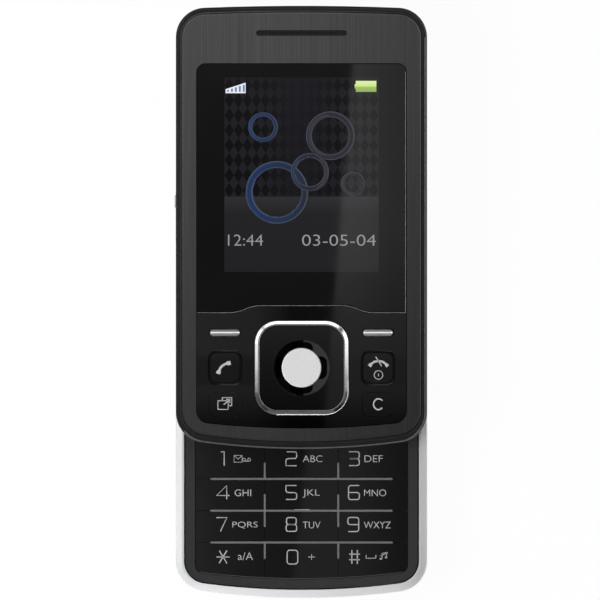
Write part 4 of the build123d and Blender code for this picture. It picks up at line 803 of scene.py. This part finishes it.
# The pad's colour is painted: darker towards its foot, lighter at the right side of its shallow
# cone, a painted reflection, and near black in its dull lobes, a painted shade in the recesses.
pad_flat, pad_cone = 13.898 * mm, 13.885 * mm
lobe_edge, lobe_floor = 13.70 * mm, 13.68 * mm
pad_black, tree, surface = new_finish("pad_black", screen(12), roughness=0.07)
flat_shade = ramp(tree, along(tree, "Y", -6.0 * mm, 9.5 * mm),
                  [(0.0, screen(5)), (0.5, screen(15)), (1.0, screen(26))])
cone_shade = ramp(tree, across(tree, 5.3 * mm),
                  [(0.0, screen(3)), (0.52, screen(3)), (0.57, screen(46)), (1.0, screen(50))])
pad_shade = mixed(tree, along(tree, "Z", pad_flat, pad_cone), flat_shade, cone_shade)
pad_shade = graded(tree, pad_shade, along(tree, "Z", lobe_edge, lobe_floor), [(0.0, 1.0), (1.0, 0.05)])
tree.links.new(pad_shade, surface.inputs["Base Color"])
gloss = ramp(tree, along(tree, "Z", pad_cone, pad_flat), [(0.0, 0.04), (1.0, 0.45)])
tree.links.new(gloss, surface.inputs["Specular IOR Level"])
polish(tree, surface)
dress(pad_black, "nav_pad")

sign_grey, tree, surface = new_finish("panel_print_grey", screen(178), roughness=0.4)
tint(tree, surface, speckle(tree, 0.3 * mm), screen(168), screen(184))
vary(tree, surface, speckle(tree, 1 * mm), 0.35, 0.45)

# Both handsets are a bow with a block at each end. The end key's is struck out, over
# a power sign.
call_handset = [(-15.60, 0.66, 1.9), (-15.42, 1.12, 1.9), (-15.36, 1.30, 1.0), (-15.12, 1.80, 1.0),
                (-14.76, 2.20, 1.0), (-14.26, 2.48, 1.0), (-13.98, 2.56, 1.0), (-13.86, 2.60, 1.9),
                (-13.26, 2.80, 1.9)]
end_handset = [(12.74, 2.04, 1.8), (13.03, 2.42, 1.8), (13.13, 2.56, 1.0), (13.62, 2.92, 1.0),
               (14.42, 3.08, 1.0), (15.22, 2.92, 1.0), (15.71, 2.56, 1.0), (15.81, 2.42, 1.8),
               (16.10, 2.04, 1.8)]
strike = [(13.90, 3.85), (15.02, 2.10)]
power_sign = [ring_line(14.40, 0.45, 0.80, 24), [(14.40, 0.20), (14.40, 0.72)]]
printed("call_sign", "call_key", sign_grey,
        [pen_strokes("handset", [call_handset], 0.46, glass_top)])
printed("end_sign", "end_key", sign_grey,
        [pen_strokes("handset", [end_handset], 0.44, glass_top),
         pen_strokes("slash", [strike], 0.20, glass_top),
         pen_strokes("power", power_sign, 0.14, glass_top)])

# A black line round the call and the end key is painted shade, for the groove round them.
edge_x, edge_y, edge_half, edge_bend = 14.31, 1.85, 2.84, 1.5
key_shade, tree, surface = new_finish("key_groove_shade", screen(5), roughness=0.5)
surface.inputs["Specular IOR Level"].default_value = 0.1
tint(tree, surface, speckle(tree, 1 * mm), screen(4), screen(8))
groove_shade_line = rounded(box_line(-edge_half, -edge_half, edge_half, edge_half), edge_bend)
for key, x in (("call_key", -edge_x), ("end_key", edge_x)):
    printed(key + "_edge", key, key_shade,
            [pen_strokes("edge", [groove_shade_line], 0.34, glass_top, (x, edge_y))])

dash_grey, tree, surface = new_finish("end_dash_grey", screen(46), roughness=0.25)
tint(tree, surface, speckle(tree, 0.3 * mm), screen(42), screen(52))
printed("end_dash", "end_key", dash_grey,
        [pen_strokes("dash", [[(13.10, -0.97), (15.75, -0.97)]], 0.30, glass_top)])

# Two frames with an arrow between them, and an open ring like a C.
window_sign = [box_line(-15.62, -5.98, -13.72, -4.38),
               [(-14.80, -4.22), (-14.80, -3.80), (-13.05, -3.80), (-13.05, -5.30), (-13.50, -5.30)],
               [(-14.55, -5.10), (-13.45, -4.15)],
               [(-14.10, -4.10), (-13.40, -4.10), (-13.40, -4.75)]]
open_ring = [(14.42 + 0.92 * x, y) for x, y in arc_line(0, -5.02, 1, 42, 318, 24)]
printed("activity_sign", "activity_key", sign_grey,
        [pen_strokes("frames", window_sign, 0.24, glass_top)])
printed("clear_sign", "clear_key", sign_grey,
        [pen_strokes("clear", [open_ring], 0.30, glass_top)])

# ---------------------------------------------------------------- metal keys
# The ring round the direction pad and the soft keys are chrome plated, and the
# select key is a lacquered light grey disc. The ring is painted darker on its lower half, and white
# lines on its lower outer edge and on the crests of the soft keys are painted highlights.
chrome, tree, surface = new_finish("key_chrome", screen(238), roughness=0.10, metallic=1.0)
plating_and_shade = mottled(tree, speckle(tree, 3 * mm), screen(232), screen(242))
# Painted shade: the ring is darker on its lower half.
plating_and_shade = graded(tree, plating_and_shade, along(tree, "Y", -7.0 * mm, 11.0 * mm),
                 [(0.0, 0.55), (0.12, 0.6), (0.3, 0.78), (0.5, 1.0), (1.0, 1.0)])
tree.links.new(plating_and_shade, surface.inputs["Base Color"])
vary(tree, surface, speckle(tree, 1.5 * mm), 0.08, 0.13)
dress(chrome, "nav_ring")

soft_chrome, tree, surface = new_finish("soft_key_satin", screen(152), roughness=0.32, metallic=0.5)
tint(tree, surface, speckle(tree, 3 * mm), screen(147), screen(158))
vary(tree, surface, speckle(tree, 1.5 * mm), 0.2, 0.25)
dress(soft_chrome, "softkey_left", "softkey_right")

# White lines on the ring's lower outer edge and on the soft keys' crests are painted highlights.
glint_white, tree, surface = new_finish("painted_glint", screen(252), roughness=0.3)
tint(tree, surface, speckle(tree, 1 * mm), screen(250), screen(255))
glint_width = 0.22
bevel_height = top_of("nav_ring") - 0.175 * mm
bevel_corner = arc_line(x=4.40, y=-2.65, radius=4.28, first=-90, last=0, steps=10)
bevel = [(-4.6, -6.93), *bevel_corner, (8.68, -0.6)]
printed("ring_bevel", "nav", glint_white,
        [pen_strokes("bevel", [bevel], glint_width, bevel_height)])
crest_x, crest_y, crest_reach = 14.30, 8.38, 2.72
crest_height = top_of("softkey_left") - 0.005 * mm
for body, x in (("softkey_left", -crest_x), ("softkey_right", crest_x)):
    crest = [(x - crest_reach, crest_y), (x + crest_reach, crest_y)]
    printed(body + "_crest", body, glint_white,
            [pen_strokes("crest", [crest], glint_width, crest_height)])

select_paint, tree, surface = new_finish("select_silver", screen(210), roughness=0.38, metallic=0.1)
tint(tree, surface, speckle(tree, 0.2 * mm), screen(206), screen(214))
vary(tree, surface, speckle(tree, 1 * mm), 0.34, 0.42)
dress(select_paint, "select_key")

# ---------------------------------------------------------------- back and inner shells
# The back is moulded in matte black with a fine spark texture. The shells inside
# and the small housings are plain moulded plastic.
back_black, tree, surface = new_finish("casing_matte_black", screen(36), roughness=0.55)
tint(tree, surface, speckle(tree, 0.5 * mm), screen(33), screen(42))
vary(tree, surface, speckle(tree, 2 * mm), 0.48, 0.62)
relief(tree, surface, speckle(tree, 0.22 * mm), 0.006 * mm)
dress(back_black, "battery_cover", "rear_housing", "slide_back_cover")

moulded, tree, surface = new_finish("moulded_black", screen(30), roughness=0.42)
tint(tree, surface, speckle(tree, 3 * mm), screen(26), screen(34))
vary(tree, surface, speckle(tree, 1 * mm), 0.36, 0.5)
relief(tree, surface, speckle(tree, 0.6 * mm), 0.002 * mm)
dress(moulded, "mid_frame", "slide_chassis", "nav_pivot", "camera_module")

rubber, tree, surface = new_finish("antenna_carrier", screen(58), roughness=0.6)
tint(tree, surface, speckle(tree, 0.8 * mm), screen(50), screen(64))
vary(tree, surface, speckle(tree, 0.5 * mm), 0.55, 0.68)
dress(rubber, "antenna", "microphone")

side_grey, tree, surface = new_finish("side_key_grey", screen(150), roughness=0.35, metallic=0.3)
tint(tree, surface, speckle(tree, 0.2 * mm), screen(142), screen(158))
vary(tree, surface, speckle(tree, 1 * mm), 0.3, 0.4)
dress(side_grey, "volume_key")

# ---------------------------------------------------------------- slide mechanism
# Two pressed steel plates run in white acetal rails, and a music-wire spring
# carries the halves past the middle of the travel.
steel, tree, surface = new_finish("slide_steel", screen(170), roughness=0.32, metallic=1.0)
tint(tree, surface, speckle(tree, 0.2 * mm, stretch=(1, 80, 1)), screen(160), screen(182))
vary(tree, surface, speckle(tree, 0.4 * mm, stretch=(1, 60, 1)), 0.26, 0.38)
relief(tree, surface, speckle(tree, 0.3 * mm, stretch=(1, 60, 1)), 0.001 * mm)
dress(steel, "slide_plate", "guide_plate")

wire, tree, surface = new_finish("spring_wire", screen(150), roughness=0.22, metallic=1.0)
tint(tree, surface, speckle(tree, 0.4 * mm), screen(140), screen(160))
vary(tree, surface, speckle(tree, 0.3 * mm), 0.18, 0.28)
dress(wire, "assist_spring")

zinc, tree, surface = new_finish("screw_zinc", screen(120), roughness=0.3, metallic=1.0)
tint(tree, surface, speckle(tree, 0.15 * mm), screen(104), screen(136))
vary(tree, surface, speckle(tree, 0.2 * mm), 0.25, 0.4)
dress(zinc, "slide_screws", "base_screws")

rail, tree, surface = new_finish("rail_acetal", screen(222), roughness=0.45)
tint(tree, surface, speckle(tree, 1 * mm), screen(214), screen(226))
vary(tree, surface, speckle(tree, 0.6 * mm), 0.4, 0.5)
surface.inputs["Subsurface Weight"].default_value = 0.1
dress(rail, "guide_rails")

# ---------------------------------------------------------------- boards and their parts
# Green boards with copper pads carry tinned cans and sockets and the steel domes
# under the keys. An amber film cable joins the boards of the two halves.
board, tree, surface = new_finish("board_green", (0.02, 0.12, 0.06), roughness=0.4)
mask = mottled(tree, speckle(tree, 2 * mm), (0.016, 0.10, 0.05), (0.03, 0.15, 0.08))
pads = new_node(tree, "ShaderNodeTexVoronoi", feature="F1", distance="CHEBYCHEV")
pads.inputs["Scale"].default_value = 900.0
pads.inputs["Randomness"].default_value = 0.6
place = new_node(tree, "ShaderNodeTexCoord")
tree.links.new(place.outputs["Object"], pads.inputs["Vector"])
copper = new_node(tree, "ShaderNodeMix", data_type="RGBA")
on_pad = ramp(tree, pads.outputs["Distance"], [(0.16, 1.0), (0.19, 0.0)])
tree.links.new(on_pad, copper.inputs["Factor"])
tree.links.new(mask, copper.inputs["A"])
copper.inputs["B"].default_value = (0.72, 0.45, 0.16, 1)
tree.links.new(copper.outputs["Result"], surface.inputs["Base Color"])
vary(tree, surface, speckle(tree, 1 * mm), 0.35, 0.45)
dress(board, "main_board", "key_board")

tinned, tree, surface = new_finish("tinned_steel", screen(186), roughness=0.38, metallic=1.0)
tint(tree, surface, speckle(tree, 0.5 * mm), screen(176), screen(194))
vary(tree, surface, speckle(tree, 1.2 * mm), 0.32, 0.46)
relief(tree, surface, speckle(tree, 0.8 * mm), 0.003 * mm)
dress(tinned, "shield_cans", "sim_holder", "system_connector", "vibration_motor")

dome, tree, surface = new_finish("dome_steel", screen(204), roughness=0.2, metallic=1.0)
tint(tree, surface, speckle(tree, 0.4 * mm), screen(196), screen(212))
vary(tree, surface, speckle(tree, 0.4 * mm), 0.15, 0.26)
dress(dome, "key_domes")

amber, tree, surface = new_finish("flex_amber", (0.45, 0.20, 0.04), roughness=0.35)
traces = speckle(tree, 0.35 * mm, stretch=(60, 1, 1))
tint(tree, surface, traces, (0.30, 0.11, 0.02), (0.55, 0.26, 0.06))
vary(tree, surface, speckle(tree, 1 * mm), 0.3, 0.42)
dress(amber, "flex_cable")

# ---------------------------------------------------------------- battery
# A flat cell in a dark foil sleeve, with a pale band across it where a label would
# be. It lies loose in its bay under the sliding cover.
foil, tree, surface = new_finish("battery_sleeve", screen(70), roughness=0.4, metallic=0.2)
sleeve = ramp(tree, along(tree, "Y", -25.0 * mm, 45.0 * mm),
              [(0.0, screen(52)), (0.30, screen(52)), (0.301, screen(196)), (0.62, screen(200)),
               (0.621, screen(52)), (1.0, screen(56))])
sleeve = graded(tree, sleeve, speckle(tree, 0.5 * mm), [(noise_low, 0.94), (noise_high, 1.0)])
tree.links.new(sleeve, surface.inputs["Base Color"])
vary(tree, surface, speckle(tree, 2 * mm), 0.35, 0.46)
dress(foil, "battery")

# ---------------------------------------------------------------- sound and light
# The sounders have felt-covered faces. The display's light guide is milky, and
# the lens cover and the display glass are clear gloss over black.
felt, tree, surface = new_finish("sounder_felt", screen(20), roughness=0.9)
tint(tree, surface, speckle(tree, 0.12 * mm), screen(14), screen(28))
relief(tree, surface, speckle(tree, 0.1 * mm), 0.01 * mm)
dress(felt, "ear_speaker", "loudspeaker")

milky, tree, surface = new_finish("light_guide", screen(230), roughness=0.3)
tint(tree, surface, speckle(tree, 4 * mm), screen(224), screen(236))
vary(tree, surface, speckle(tree, 2 * mm), 0.25, 0.35)
surface.inputs["Subsurface Weight"].default_value = 0.2
dress(milky, "lcd_backlight")

grille, tree, surface = new_finish("ear_grille_black", screen(14), roughness=0.5)
tint(tree, surface, speckle(tree, 0.3 * mm), screen(6), screen(11))
vary(tree, surface, speckle(tree, 0.3 * mm), 0.45, 0.6)
dress(grille, "ear_grille")

lens_black, tree, surface = new_finish("lens_cover", screen(10), roughness=0.04)
tint(tree, surface, speckle(tree, 4 * mm), screen(9), screen(12))
vary(tree, surface, speckle(tree, 4 * mm), 0.03, 0.06)
dress(lens_black, "camera_window", "lcd_glass")

# Behind the lens cover show a turned metal ring and the coated rims of the lens.
lens_y = 31.0
lens_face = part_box("camera_window")[0].z - 0.02 * mm
turned, tree, surface = new_finish("lens_ring_metal", screen(176), roughness=0.24, metallic=1.0)
tint(tree, surface, speckle(tree, 0.3 * mm), screen(168), screen(186))
vary(tree, surface, speckle(tree, 0.3 * mm), 0.2, 0.3)
printed("lens_ring", "base", turned,
        [pen_strokes("ring", [ring_line(0, lens_y, 3.15, 60)], 0.40, lens_face)])
coating, tree, surface = new_finish("lens_coating", screen(30, 34, 58), roughness=0.1)
tint(tree, surface, speckle(tree, 1.5 * mm), screen(24, 26, 48), screen(44, 38, 74))
vary(tree, surface, speckle(tree, 1 * mm), 0.06, 0.14)
printed("lens_rims", "base", coating,
        [pen_strokes("rim", [ring_line(0, lens_y, radius, 48)], width, lens_face)
         for radius, width in ((1.95, 0.30), (1.20, 0.55))])
